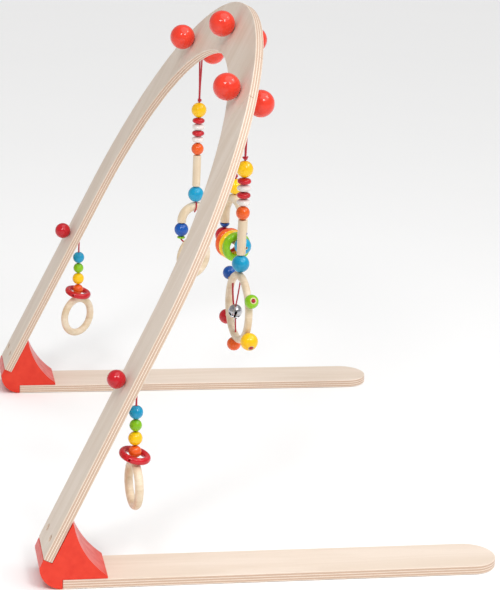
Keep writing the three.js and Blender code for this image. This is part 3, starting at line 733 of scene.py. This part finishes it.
def board_cells(stations, levels, filled):
    """A board made of cells between stations and levels; only faces that show are made."""
    bm = bmesh.new()
    cells = [[filled((a[2] + b[2]) / 2, k) for k in range(len(levels) - 1)]
             for a, b in zip(stations, stations[1:])]
    verts = {}

    def vert(i, edge, k):
        key = (i, edge, k)
        if key not in verts:
            verts[key] = bm.verts.new((*stations[i][edge], levels[k]))
        return verts[key]

    def face(*keys):
        bm.faces.new([vert(*key) for key in keys])

    def full(i, k):
        return 0 <= i < len(cells) and 0 <= k < len(levels) - 1 and cells[i][k]

    for i in range(len(cells)):
        for k in range(len(levels) - 1):
            if not full(i, k):
                continue
            for edge in (0, 1):
                face((i, edge, k), (i + 1, edge, k), (i + 1, edge, k + 1), (i, edge, k + 1))
            for step, level in ((-1, k), (1, k + 1)):
                if not full(i, k + step):
                    face((i, 0, level), (i + 1, 0, level), (i + 1, 1, level), (i, 1, level))
            for step, end in ((-1, i), (1, i + 1)):
                if not full(i + step, k):
                    face((end, 0, k), (end, 1, k), (end, 1, k + 1), (end, 0, k + 1))
    return bm


def soften_board(piece, fine_places):
    """Rounds a board's edges, but leaves the joints' seams and the rims of holes nearly sharp."""
    bm = bmesh.new()
    bm.from_mesh(piece.data)
    weight = bm.edges.layers.float.new("bevel_weight_edge")
    to_board = BOARD.inverted() @ Matrix.Scale(1 / MM, 4)
    for edge in bm.edges:
        if len(edge.link_faces) != 2 or edge.calc_face_angle() < radians(30):
            continue
        spot = to_board @ ((edge.verts[0].co + edge.verts[1].co) / 2)
        angle = abs(atan2(spot.x, spot.y - ARCH_CENTRE))
        from_seam = min(abs(angle - LAP_FROM), abs(angle - LAP_TO))
        on_seam = spot.y > ARCH_CENTRE and from_seam < radians(0.15)
        on_middle = abs(spot.z - PLY / 2) < 0.5
        near_hole = any((Vector((spot.x, spot.y)) - Vector(place)).length < 6 for place in fine_places)
        edge[weight] = 0.0 if near_hole else 0.25 if on_seam or on_middle else 1.0
    bm.to_mesh(piece.data)
    bm.free()
    bevel = piece.modifiers.new("soften", "BEVEL")
    bevel.width, bevel.segments, bevel.limit_method = 1.0 * MM, 3, "WEIGHT"
    bevel.harden_normals = True
    applied(piece)


levels = (0.0, PLY / 2, PLY)
seam_angle = SEAM / MIDDLE_RADIUS
top_stations = (arc_stations(-LAP_TO, -LAP_FROM)[:-1] + arc_stations(-LAP_FROM, LAP_FROM)[:-1]
                + arc_stations(LAP_FROM, LAP_TO))
arch_top = add_piece(
    "arch_top_board", board_cells(top_stations, levels, lambda angle, k: k == 0 or abs(angle) < LAP_FROM),
    (arch_ply,), "frame", ("arch_top",), BOARD)
soften_board(arch_top, [])

screw_seat = [(0, -2), (4.1, -2), (4.1, SINK), (2.1, SINK + 2.8), (0, SINK + 2.8)]

for name, side in SIDES.items():
    outer_end = Vector((HALF_WIDTH, 0))
    inner_end = Vector((HALF_WIDTH - BOARD_WIDTH / cos(SPLAY), 0))
    curve = arc_stations(LAP_FROM + seam_angle, LAP_TO + seam_angle)[:-1]
    curve += arc_stations(LAP_TO + seam_angle, pi / 2 - SPLAY)
    outer_start, inner_start, top_angle = curve[-1]
    straight = []
    for i in range(1, LEG_CELLS + 1):
        share = i / LEG_CELLS
        straight.append(
            (outer_start.lerp(outer_end, share), inner_start.lerp(inner_end, share), top_angle + i))
    stations = [(Vector((side * o.x, o.y)), Vector((side * n.x, n.y)), a) for o, n, a in curve + straight]
    cells = board_cells(stations, levels, lambda angle, k: k == 1 or angle > LAP_TO + seam_angle)
    leg = add_piece(
        f"leg_board_{name}", cells, (arch_ply,), "frame", (f"leg_{name}",), BOARD)
    carve(leg, [round_cutter(screw_seat, BOARD @ shift(side * across, LEG_SCREW_UP, 0))
                for across in LEG_SCREWS.values()]
          + [drill(CORD_HOLE + 0.1, -2, PLY + 2,
                   BOARD @ shift(side * SIDE_KNOB_ACROSS, SIDE_KNOB_UP, 0))])
    soften_board(leg, [(side * across, LEG_SCREW_UP) for across in LEG_SCREWS.values()]
                 + [(side * SIDE_KNOB_ACROSS, SIDE_KNOB_UP)])

# ---- screws and bolts

SCREW_PROFILE = [(0, 0), (3.4, 0), (3.7, 0.08), (3.8, 0.35), (2.1, 2.5), (1.95, 3.4), (1.95, 6), (0, 6)]
ROWS_PER_TURN = 6

def thread(bm, radius, depth, low, high, pitch, sides=20):
    """A helical thread along z: a closed rod whose radius rises and falls along its helix."""
    rows = round((high - low) / pitch * ROWS_PER_TURN)
    rings = []
    for k in range(rows + 1):
        z = low + (high - low) * k / rows
        ring = []
        for i in range(sides):
            phase = (z / pitch - i / sides) % 1
            reach = radius - depth * (1 - abs(2 * phase - 1))
            angle = tau * i / sides
            ring.append(bm.verts.new((reach * cos(angle), reach * sin(angle), z)))
        rings.append(ring)
    for near, far in zip(rings, rings[1:]):
        for i in range(sides):
            j = (i + 1) % sides
            bm.faces.new((near[i], near[j], far[j], far[i]))
    bm.faces.new(rings[0])
    bm.faces.new(rings[-1])


def add_screw(name, place, length, replaced):
    """A countersunk wood screw along z, head first, with a cross recess."""
    bm = bmesh.new()
    revolve(bm, painted(SCREW_PROFILE), 40)
    thread(bm, 2.0, 0.5, 5.5, length - 0.5, 1.8)
    screw = add_piece(name, bm, (steel,), "frame", (replaced,), place)
    recess = bmesh.new()
    for k in range(2):
        turn = place @ turned_about("Z", pi / 2 * k + 0.5)
        lift = 0.013 * k
        prism(recess, rectangle(2.3, 0.4), lift - 1, lift + 1.1, turn, rectangle(1.2, 0.3))
    carve(screw, [recess])
    return screw


for name, side in SIDES.items():
    for spot, across in LEG_SCREWS.items():
        place = BOARD @ shift(side * across, LEG_SCREW_UP, SINK)
        add_screw(f"leg_screw_{name}_{spot}_detail", place, LEG_SCREW_LENGTH, f"leg_screw_{name}_{spot}")
    for spot, x in FOOT_SCREWS.items():
        place = shift(x, side * FOOT_MIDDLE, SINK)
        add_screw(f"foot_screw_{name}_{spot}_detail", place, FOOT_SCREW_LENGTH, f"foot_screw_{name}_{spot}")

for name in BOLTS:
    bm = bmesh.new()
    thread(bm, BOLT_RADIUS, 0.35, -BOLT_INTO_KNOB, PLY + KNOB_GAP + BOLT_INTO_KNOB, 1.0, 32)
    add_piece(f"bolt_rod_{name}", bm, (steel,), "frame", (f"bolt_{name}",),
              BOARD @ Matrix.Translation((*bolt_place(name), 0)))

# ---- knobs


def knob_profile(radius, bore, depth):
    """A ball with a blind bore from below, bare wood inside it (material 1)."""
    reach = sqrt(radius ** 2 - (bore + 0.5) ** 2)
    mouth = -acos((bore + 0.5) / radius)
    inside = [(0, depth - reach), (bore, depth - reach), (bore, 0.5 - reach), (bore + 0.12, 0.12 - reach)]
    return painted(inside, 1) + painted(oval(radius, radius, mouth, pi / 2, 40))


knob_reach = sqrt(KNOB_RADIUS ** 2 - KNOB_BORE ** 2)
for name in BOLTS:
    across, up = bolt_place(name)
    back = BOARD @ shift(across, up, -GAP - knob_reach) @ turned_about("X", pi)
    front = BOARD @ shift(across, up, PLY + KNOB_GAP + knob_reach)
    for place, spot, body in ((back, "back", "frame"), (front, "front", f"front_knob_{name}")):
        bm = bmesh.new()
        revolve(bm, knob_profile(KNOB_RADIUS, KNOB_BORE, KNOB_BORE_DEPTH), 72)
        add_piece(f"ball_knob_{name}_{spot}", bm, (red, bare_wood), body,
                  (f"knob_{name}_{spot}",), place)

SIDE_KNOB_MOUTH = 1.45
side_reach = sqrt(SIDE_KNOB_RADIUS ** 2 - SIDE_KNOB_MOUTH ** 2)
for name, side in SIDES.items():
    centre = on_board(side * SIDE_KNOB_ACROSS, SIDE_KNOB_UP, -GAP - side_reach)
    add_bead(f"side_ball_knob_{name}", SIDE_KNOB_RADIUS, centre, "crimson", "frame", f"side_knob_{name}",
             THROUGH, steps=36)

# ---- feet and blocks

for name, side in SIDES.items():
    middle, round_end = side * FOOT_MIDDLE, FOOT_WIDTH / 2
    outline = [(FOOT_START, middle - round_end)]
    outline += [(x, middle - round_end) for x in range(-180, 220, 40)]
    for i in range(49):
        angle = pi * (i / 48 - 0.5)
        x = FOOT_END - round_end + round_end * cos(angle)
        outline.append((x, middle + round_end * sin(angle)))
    outline += [(x, middle + round_end) for x in range(180, -220, -40)]
    outline.append((FOOT_START, middle + round_end))
    bm = bmesh.new()
    prism(bm, outline, 0, PLY)
    foot = add_piece(f"foot_board_{name}", bm, (foot_ply,), "frame", (f"foot_{name}",))
    carve(foot, [round_cutter(screw_seat, shift(x, middle, 0)) for x in FOOT_SCREWS.values()])
    soften(foot, 1.1)


BLOCK_UP_LEG, BLOCK_BROW = 48.0, 1.2
BLOCK_TIP_X, BLOCK_TIP_STEP, BLOCK_DIP = 67.5, 2.6, 6.7
HEEL_RADIUS, HEEL_X = 24.0, 20.0


def block_outline():
    """The block from its side: x is forward from the leg's back face, y is up."""
    slope = Vector((cos(LEAN), sin(LEAN)))
    inward = Vector((sin(LEAN), -cos(LEAN)))
    ledge = Vector((0, LEG_Z)) - slope * GAP
    corner = ledge + inward * (PLY + GAP)
    top = corner + slope * BLOCK_UP_LEG
    brow = top + inward * BLOCK_BROW
    tip = Vector((BLOCK_TIP_X, PLY + GAP + BLOCK_TIP_STEP))
    foot_end = FOOT_START - BACK_X - GAP
    outline = [Vector((foot_end, 0)), Vector((foot_end, PLY + GAP)), Vector((BLOCK_TIP_X, PLY + GAP)), tip]
    chord = brow - tip
    dip = Vector((-chord.y, chord.x)).normalized()
    for i in range(1, 30):
        along = i / 30
        outline.append(tip + chord * along + dip * 4 * BLOCK_DIP * along * (1 - along))
    outline += [brow, top, corner, ledge]
    for i in range(25):
        angle = pi * (1 + 0.5 * i / 24)
        c, s = cos(angle), sin(angle)
        outline.append(Vector((HEEL_X + HEEL_RADIUS * c, HEEL_RADIUS + HEEL_RADIUS * s)))
    return outline


for name, side in SIDES.items():
    bm = bmesh.new()
    prism(bm, block_outline(), -FOOT_WIDTH / 2, FOOT_WIDTH / 2)
    stand = shift(BACK_X, side * FOOT_MIDDLE, 0) @ turned_about("X", pi / 2)
    block = add_piece(
        f"foot_block_{name}", bm, (block_red,), "frame", (f"block_{name}",), stand)
    soften(block, 0.8, 3, 28)

# ---- bead strings

STRING_BOTTOM, THREAD_TOP = 290.1, 417.0


def add_thread(name, x, y, high, low, body):
    """The cord inside a string of beads, seen only in the gaps between them."""
    path = [Vector((x, y, high + (low - high) * i / 8)) for i in range(9)]
    return add_cord(name, path, CORD * 0.9, body)


def rod_profile(radius, half, edge, bulge=0.1):
    """A bored rod with rounded edges and a slight bulge, bare wood inside its bore (material 1)."""
    turns = [pi / 2 * i / 6 for i in range(7)]
    upper = [(radius - edge * (1 - sin(a)), half - edge * (1 - cos(a))) for a in turns]
    wall = [(radius + bulge * sin(pi * i / 12), (half - edge) * (1 - i / 6)) for i in range(1, 12)]
    lower = [(r, -h) for r, h in reversed(upper)]
    mouth, bore = CORD_HOLE + 0.3, half - 0.4
    return (painted([(mouth, half)], 1) + painted(upper + wall + lower)
            + painted([(mouth, -half), (CORD_HOLE, -bore), (CORD_HOLE, bore)], 1))


YELLOW_BALL, ORANGE_BALL, SKY_BLUE_BALL = 9.3, 7.7, 9.8
YELLOW_Z, ORANGE_Z, SKY_BLUE_Z = 406.8, 357.9, 300.2
DISC_RADIUS, DISC_HALF, DISC_PITCH, LOWEST_DISC_Z = 7.65, 3.8, 7.9, 369.7
ROD_RADIUS, ROD_HALF, ROD_EDGE, ROD_BOTTOM = 4.9, 19.8, 1.0, 310.3

for name in SIDES:
    x, y = hooks[name].x, hooks[name].y
    body = f"string_{name}"
    add_bead(f"yellow_ball_{name}", YELLOW_BALL, (x, y, YELLOW_Z), "yellow", body, f"yellow_bead_{name}")
    for i, colour in enumerate(("white", "crimson", "white", "crimson")):
        disc_at = (x, y, LOWEST_DISC_Z + i * DISC_PITCH)
        add_bead(f"disc_{name}_{i + 1}_{colour}", DISC_RADIUS, disc_at, colour, body, f"bead_stack_{name}",
                 half_height=DISC_HALF, power=2.25)
    add_bead(f"orange_ball_{name}", ORANGE_BALL, (x, y, ORANGE_Z), "orange", body, f"bead_stack_{name}")
    bm = bmesh.new()
    revolve(bm, rod_profile(ROD_RADIUS, ROD_HALF, ROD_EDGE), 40, closed=True)
    add_piece(f"natural_rod_{name}", bm, (upright_wood, bare_wood), body,
              (f"rod_bead_{name}",), shift(x, y, ROD_BOTTOM + ROD_HALF))
    add_bead(f"sky_blue_ball_{name}", SKY_BLUE_BALL, (x, y, SKY_BLUE_Z), "sky_blue", body,
             f"blue_bead_{name}")
    add_thread(f"string_thread_{name}", x, y, THREAD_TOP, STRING_BOTTOM + 1, body)


def add_ring(name, middle, section, place, finish, body, replaced, power=2.0, hole=None):
    """A turned ring about z with a rounded section; hole places a hole for a cord through it."""
    material, slot = FINISHES[finish]
    profile = []
    for i in range(28):
        angle = tau * i / 28
        c, s = cos(angle), sin(angle)
        across = section / 2 * copysign(abs(c) ** (2 / power), c)
        profile.append((middle + across, section / 2 * copysign(abs(s) ** (2 / power), s)))
    bm = bmesh.new()
    revolve(bm, painted(profile), 96, closed=True)
    ring = add_piece(name, bm, (material,), body, (replaced,), place)
    if hole is not None:
        carve(ring, [drill(CORD_HOLE, -12, 12, place @ hole)])
    return ring


def add_bow(name, radius, straight, place, body, replaced):
    """A bent bow with straight, flat-ended legs; its crown is at z = 0."""
    bend = radius + BOW_SECTION / 2
    end = -bend - straight + BOW_END_ROUNDING
    path = [Vector((-radius, 0, end))]
    for i in range(37):
        angle = pi * (1 - i / 36)
        path.append(Vector((radius * cos(angle), 0, radius * sin(angle) - bend)))
    path.append(Vector((radius, 0, end)))
    if straight > 3:
        path.insert(1, path[0].lerp(path[1], 0.5))
        path.insert(-1, path[-1].lerp(path[-2], 0.5))
    bm = bmesh.new()
    sweep(bm, path, circle(BOW_SECTION / 2, 36), ACROSS, cap=BOW_END_ROUNDING)
    bow = add_piece(name, bm, (bow_wood,), body, (replaced,), place)
    ends = [place @ shift(k * radius, 0, -bend - straight) for k in (-1, 1)]
    carve(bow, [drill(CORD_HOLE, -16, 3, place), *(drill(CORD_HOLE, -4, 5, end) for end in ends)])
    return bow


STAND_UP = turned_about("X", pi / 2)

# ---- left string: bow, pendants and grasp ring

x, y = hooks["left"].x, hooks["left"].y
left_bow = heading_frame((x, y, STRING_BOTTOM), LEFT_BOW_HEADING)
add_bow("bent_bow_left", **LEFT_BOW, place=left_bow, body="bow_left", replaced="bow_left")
PENDANT_Z, PENDANT_FOOT, LEFT_RING_Z = 256.0 - STRING_BOTTOM, 244.2 - STRING_BOTTOM, 219.37 - STRING_BOTTOM
PENDANT_BALL, PENDANT_DISC, PENDANT_DISC_HALF = 8.8, 5.0, 1.5
LEFT_RING_TWIST = radians(20)
for spot, k in {"front": -1, "rear": 1}.items():
    ball_at = left_bow @ Vector((k * LEFT_BOW["radius"], 0, PENDANT_Z))
    disc_at = left_bow @ Vector((k * LEFT_BOW["radius"], 0, PENDANT_FOOT + PENDANT_DISC_HALF))
    add_bead(f"pendant_ball_{spot}", PENDANT_BALL, ball_at, "deep_blue", "bow_left", f"pendant_{spot}")
    add_bead(f"pendant_disc_{spot}", PENDANT_DISC, disc_at, "green", "bow_left", f"pendant_{spot}",
             half_height=PENDANT_DISC_HALF, power=3.0, steps=14)
    stub = [left_bow @ Vector((k * reach, k * aside, PENDANT_FOOT + drop)) for reach, aside, drop in (
        (18, 0, 2), (18, 0, -0.4), (17.1, 1.2, -2.2), (15, 3, -4), (12.9, 4.7, -6))]
    link = short_cord(f"pendant_cord_{spot}", stub, CORD, None)
    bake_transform(link)
curl = [left_bow @ Vector(p) for p in (
    (0, 0, 3), (-0.4, -2.4, 0.5), (-0.9, -5.2, -1.6), (-1.7, -6.8, -5.5), (-2.6, -6.4, -9.2),
    (-2.8, -4.2, -11.6))]
short_cord("bow_cord_end_left", curl, CORD * 0.9, "bow_left", normal=Vector((1, 0, 0)))
ring_turn = turned_about("Z", LEFT_RING_TWIST) @ STAND_UP
left_ring = left_bow @ shift(0, 0, LEFT_RING_Z) @ ring_turn
add_ring("natural_grasp_ring_left", **GRASP_RING, place=left_ring, finish="natural", body="grasp_ring_left",
         replaced="grasp_ring_left")

# ---- centre string: bow, axle and three rings

CENTRE_YELLOW_Z, CENTRE_THREAD, CENTRE_BOW_Z = 348.8, (359, 338), 339.2
AXLE_Z, AXLE_HALF, AXLE_RADIUS = -56.0, 24.0, 3.5
AXLE_BALL, AXLE_BALL_OUT = 10.0, 26.0
HALF_BEAD_RADIUS, HALF_BEAD_HEIGHT, HALF_BEAD_Z = 5.7, 5.0, -40.6
LOOSE_RING_Z, LOOSE_RING_PITCH = 278.1, 9.4
TO_X = turned_about("Y", pi / 2)

x, y = hooks["centre"].x, 0.0
add_bead("yellow_ball_centre", YELLOW_BALL, (x, y, CENTRE_YELLOW_Z), "yellow", "string_centre",
         "yellow_bead_centre")
add_thread("string_thread_centre", x, y, *CENTRE_THREAD, "string_centre")
centre_bow = heading_frame((x, y, CENTRE_BOW_Z), CENTRE_BOW_HEADING)
add_bow("bent_bow_centre", **CENTRE_BOW, place=centre_bow, body="string_centre", replaced="bow_centre")
bm = bmesh.new()
wall = [(AXLE_RADIUS, 4 * i - 22) for i in range(12)]
revolve(bm, painted([
    (0, -AXLE_HALF), (AXLE_RADIUS - 0.4, -AXLE_HALF), (AXLE_RADIUS, 0.4 - AXLE_HALF), *wall,
    (AXLE_RADIUS, AXLE_HALF - 0.4), (AXLE_RADIUS - 0.4, AXLE_HALF), (0, AXLE_HALF)]), 36)
add_piece("axle_dowel", bm, (bow_wood,), "ring_axle", ("ring_axle",),
          centre_bow @ shift(0, 0, AXLE_Z) @ TO_X)
for k, spot, colour in ((-1, "far", "crimson"), (1, "near", "sky_blue")):
    add_bead(f"axle_ball_{spot}", AXLE_BALL, centre_bow @ Vector((k * AXLE_BALL_OUT, 0, AXLE_Z)), colour,
             "ring_axle", "ring_axle", centre_bow.to_3x3() @ Vector((1, 0, 0)))
    bm = bmesh.new()
    dome = [(r, -h) for r, h in oval(HALF_BEAD_RADIUS, HALF_BEAD_HEIGHT, 0, pi / 2, 14)]
    revolve(bm, painted([(0, 0), (5.3, 0), (5.6, -0.12), *dome[1:]]), 48)
    add_piece(f"half_bead_{spot}", bm, (deep_blue,), "ring_axle", ("ring_axle",),
              centre_bow @ shift(k * CENTRE_BOW["radius"], 0, HALF_BEAD_Z))
for i, colour in enumerate(("orange", "yellow", "green")):
    ring_at = shift((i - 1) * LOOSE_RING_PITCH, 0, LOOSE_RING_Z - CENTRE_BOW_Z)
    add_ring(f"loose_ring_{colour}", **LOOSE_RING, place=centre_bow @ ring_at @ TO_X, finish=colour,
             body=f"toy_ring_{colour}", replaced=f"toy_ring_{colour}", power=2.3)

# ---- right string: bead wheel with a bell

WHEEL_MIDDLE, WHEEL_SECTION = 36.0, 8.0
WHEEL_Z, WHEEL_HEADING = 250.1, -7.6
# Each bead's angle on the wheel, in degrees, and its radius.
WHEEL_BEADS = {
    "deep_blue": (38, 7.8), "green": (156, 7.8), "yellow": (-147, 9.8), "orange": (-76, 7.8),
    "crimson": (-29, 8.5)}
BELL_CORD, BELL_RADIUS, BELL_WALL, CLAPPER_RADIUS = 0.8, 7.8, 0.1, 2.2
BELL_AT = Vector((12, 0, -8))
SPOKE_ANGLES, SPOKE_END = (94, -77), 31.7
SIDE_HOLE_ANGLE, SIDE_HOLE_REACH = 40, 31.9
SLOT_LENGTH, SLOT_WIDTH, SLOT_END_RADIUS = 9.6, 1.9, 1.6


def in_wheel(degrees, reach):
    """A place in the wheel's plane, from its middle."""
    angle = radians(degrees)
    return Vector((cos(angle), 0, sin(angle))) * reach


wheel = heading_frame((hooks["right"].x, hooks["right"].y, WHEEL_Z), WHEEL_HEADING)
add_ring("wheel_hoop", WHEEL_MIDDLE, WHEEL_SECTION, wheel @ STAND_UP, "natural", "bead_wheel", "bead_wheel",
         power=2.6)
for colour, (degrees, radius) in WHEEL_BEADS.items():
    outward = in_wheel(degrees, 1)
    reach = WHEEL_MIDDLE + WHEEL_SECTION / 2 + radius - 0.35
    add_bead(f"wheel_ball_{colour}", radius, wheel @ (outward * reach), colour, "bead_wheel", "bead_wheel",
             wheel.to_3x3() @ outward, bore=2.3, chamfer=1.2)
    tip = wheel @ (outward * (reach + radius - 1.3))
    knot(f"wheel_knot_{colour}", tip, "bead_wheel", size=0.42, turn=radians(degrees), tails=False)
    link = [wheel @ (outward * r) for r in (WHEEL_MIDDLE - 4.6, WHEEL_MIDDLE, reach, reach + radius - 1.5)]
    add_cord(f"wheel_cord_{colour}", smooth_path(link, 1.5), CORD * 0.85, "bead_wheel")

top, bottom = (in_wheel(degrees, SPOKE_END) for degrees in SPOKE_ANGLES)
spoke = (top, (top + BELL_AT) / 2, BELL_AT, (BELL_AT + bottom) / 2, bottom)
route = smooth_path([wheel @ p for p in spoke], 1.0)
bell_cord = add_cord("bell_cord_through", route, BELL_CORD, "bell", ("bell_cord",))
thinned(route, 24)
side_hole = in_wheel(SIDE_HOLE_ANGLE, SIDE_HOLE_REACH)
side_run = smooth_path([wheel @ p for p in (side_hole, Vector((22.6, 0, 8)), Vector((18.2, 0, -3.6)))], 1.0)
side_cord = add_cord("bell_cord_side", side_run, CORD, None)
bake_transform(side_cord)

BELL_MOUTH = 0.16 - pi / 2
shell = [(r + (0.28 if abs(h) < 0.35 else 0.0), h)
         for r, h in oval(BELL_RADIUS, BELL_RADIUS, BELL_MOUTH, pi / 2, 40)]
inside = [(r * (1 - BELL_WALL), h * (1 - BELL_WALL))
          for r, h in reversed(oval(BELL_RADIUS, BELL_RADIUS, BELL_MOUTH, pi / 2, 30))]
bm = bmesh.new()
# The inner wall takes material 1, the metal darkened as painted shade.
revolve(bm, painted(shell) + painted(inside[1:], 1), 64)
bell_turn = Vector((0.25, 0.72, 0.62)).normalized().to_track_quat("Z", "Y").to_matrix().to_4x4()
bell_place = Matrix.Translation(wheel @ BELL_AT) @ bell_turn
bell = add_piece(
    "jingle_bell_shell", bm, (bell_metal, bell_inside_painted_shade), "bell", ("bell",), bell_place)
slots = []
for k in range(2):
    slot = bmesh.new()
    turn = bell_place @ turned_about("Z", pi / 2 * k + 0.4)
    prism(slot, rectangle(SLOT_LENGTH / 2, SLOT_WIDTH / 2), -9, -1.2, turn)
    slots.append(slot)
for k in range(4):
    turn = bell_place @ turned_about("Z", pi / 2 * k + 0.4) @ shift(5.0, 0, 0)
    slots.append(drill(SLOT_END_RADIUS, -9, -0.8, turn))
carve(bell, slots)
bm = bmesh.new()
# The clapper takes the same darkened metal, painted shade inside the bell.
revolve(bm, painted(oval(CLAPPER_RADIUS, CLAPPER_RADIUS, -pi / 2, pi / 2, 16)), 24)
add_piece("jingle_bell_clapper", bm, (bell_inside_painted_shade,), "bell", ("bell",),
          bell_place @ shift(0.8, 0.5, -2.6))

# ---- side strings

RED_RING_Z, SIDE_RING_Z = 132.0, 100.0
RED_TILTS = {"left": (6, 11), "right": (6, 13)}
RED_HOLE_ANGLE = radians(-118)
SIDE_HEADINGS = {"left": 53.0, "right": -6.9}

for name, side in SIDES.items():
    x, y = (on_board(0, SIDE_KNOB_UP, PLY) + bend_end).x, side * SIDE_KNOB_ACROSS
    top = SIDE_TOP_Z
    for colour, radius in SIDE_BEADS.items():
        add_bead(f"side_ball_{name}_{colour}", radius, (x, y, top - radius), colour, f"side_string_{name}",
                 f"side_beads_{name}")
        top -= 2 * radius + GAP
    tilt_x, tilt_y = (radians(a) for a in RED_TILTS[name])
    tilted = turned_about("X", tilt_x) @ turned_about("Y", tilt_y)
    hole = turned_about("Z", RED_HOLE_ANGLE) @ shift(RED_RING["middle"], 0, 0) @ TO_X
    add_ring(f"crimson_ring_{name}", **RED_RING, place=shift(x, y, RED_RING_Z) @ tilted,
             finish="crimson", body=f"red_ring_{name}", replaced=f"red_ring_{name}", power=2.2, hole=hole)
    hoop = heading_frame((x, y, SIDE_RING_Z), SIDE_HEADINGS[name]) @ STAND_UP
    add_ring(f"natural_side_ring_{name}", **GRASP_RING, place=hoop, finish="natural",
             body=f"grasp_ring_side_{name}", replaced=f"grasp_ring_side_{name}")

# ---- floor and light

floor_material = Nodes("pale_floor")
wash = floor_material.noise(floor_material.object, 3.0, 2.0)
floor_colour = floor_material.mix(wash, (0.975, 0.975, 0.975, 1), (0.99, 0.99, 0.99, 1))
floor_material.finish(floor_colour, 0.7, Specular_IOR_Level=0.2)
FLOOR_HALF, FLOOR_Z = 40.0, -0.0005  # metres
bm = bmesh.new()
for corner in rectangle(FLOOR_HALF, FLOOR_HALF):
    bm.verts.new((*corner, FLOOR_Z))
bm.faces.new(bm.verts)
mesh = bpy.data.meshes.new("floor")
bm.to_mesh(mesh)
bm.free()
mesh.materials.append(floor_material.material)
floor = bpy.data.objects.new("floor", mesh)
bpy.context.scene.collection.objects.link(floor)

world = bpy.data.worlds.new("studio")
world.use_nodes = True
sky = world.node_tree
direction = sky.nodes.new("ShaderNodeTexCoord")
height = sky.nodes.new("ShaderNodeSeparateXYZ")
dimming = sky.nodes.new("ShaderNodeMapRange")
sky.links.new(direction.outputs["Generated"], height.inputs["Vector"])
sky.links.new(height.outputs["Z"], dimming.inputs["Value"])
for socket, value in {"From Min": 0.05, "From Max": 0.45, "To Min": 0.5, "To Max": 0.4}.items():
    dimming.inputs[socket].default_value = value
sky.links.new(dimming.outputs["Result"], sky.nodes["Background"].inputs["Strength"])
sky.nodes["Background"].inputs["Color"].default_value = (1.0, 0.995, 0.99, 1)
bpy.context.scene.world = world


TOY_MIDDLE = Vector((0, 0, 0.4))
STUDIO_REACH = 2.1


def add_light(name, place, target, side, power):
    """A square softbox, in metres and watts."""
    light = bpy.data.objects.new(name, bpy.data.lights.new(name, "AREA"))
    light.data.shape, light.data.size, light.data.size_y = "RECTANGLE", side, side
    light.data.energy = power
    light.location = place
    light.rotation_mode = "QUATERNION"
    light.rotation_quaternion = (Vector(target) - Vector(place)).to_track_quat("-Z", "Y")
    bpy.context.scene.collection.objects.link(light)


def beside_camera(x, y, z):
    """A place seen from the toys in the camera's own directions: right, up and back."""
    return TOY_MIDDLE + camera.rotation_quaternion @ Vector((x, y, z)) * STUDIO_REACH


add_light("twin_softbox_left", beside_camera(-0.19, 0.39, 0.89), TOY_MIDDLE, 0.42, 9)
add_light("twin_softbox_right", beside_camera(0.38, 0.38, 0.84), TOY_MIDDLE, 0.42, 9)
add_light("rim_softbox", beside_camera(0.66, 0.70, 0.28), TOY_MIDDLE, 0.4, 4)
add_light("key_softbox", (1.6, -2.6, 2.6), (0, 0, 0.25), 1.3, 2)

overhead = bpy.data.objects.new("overhead_sun", bpy.data.lights.new("overhead_sun", "SUN"))
overhead.data.energy, overhead.data.angle = 1.45, radians(70)
overhead.rotation_mode = "QUATERNION"
overhead.rotation_quaternion = Vector((-0.35, 0.25, -1)).to_track_quat("-Z", "Y")
bpy.context.scene.collection.objects.link(overhead)

bpy.context.scene.view_settings.view_transform = "Standard"
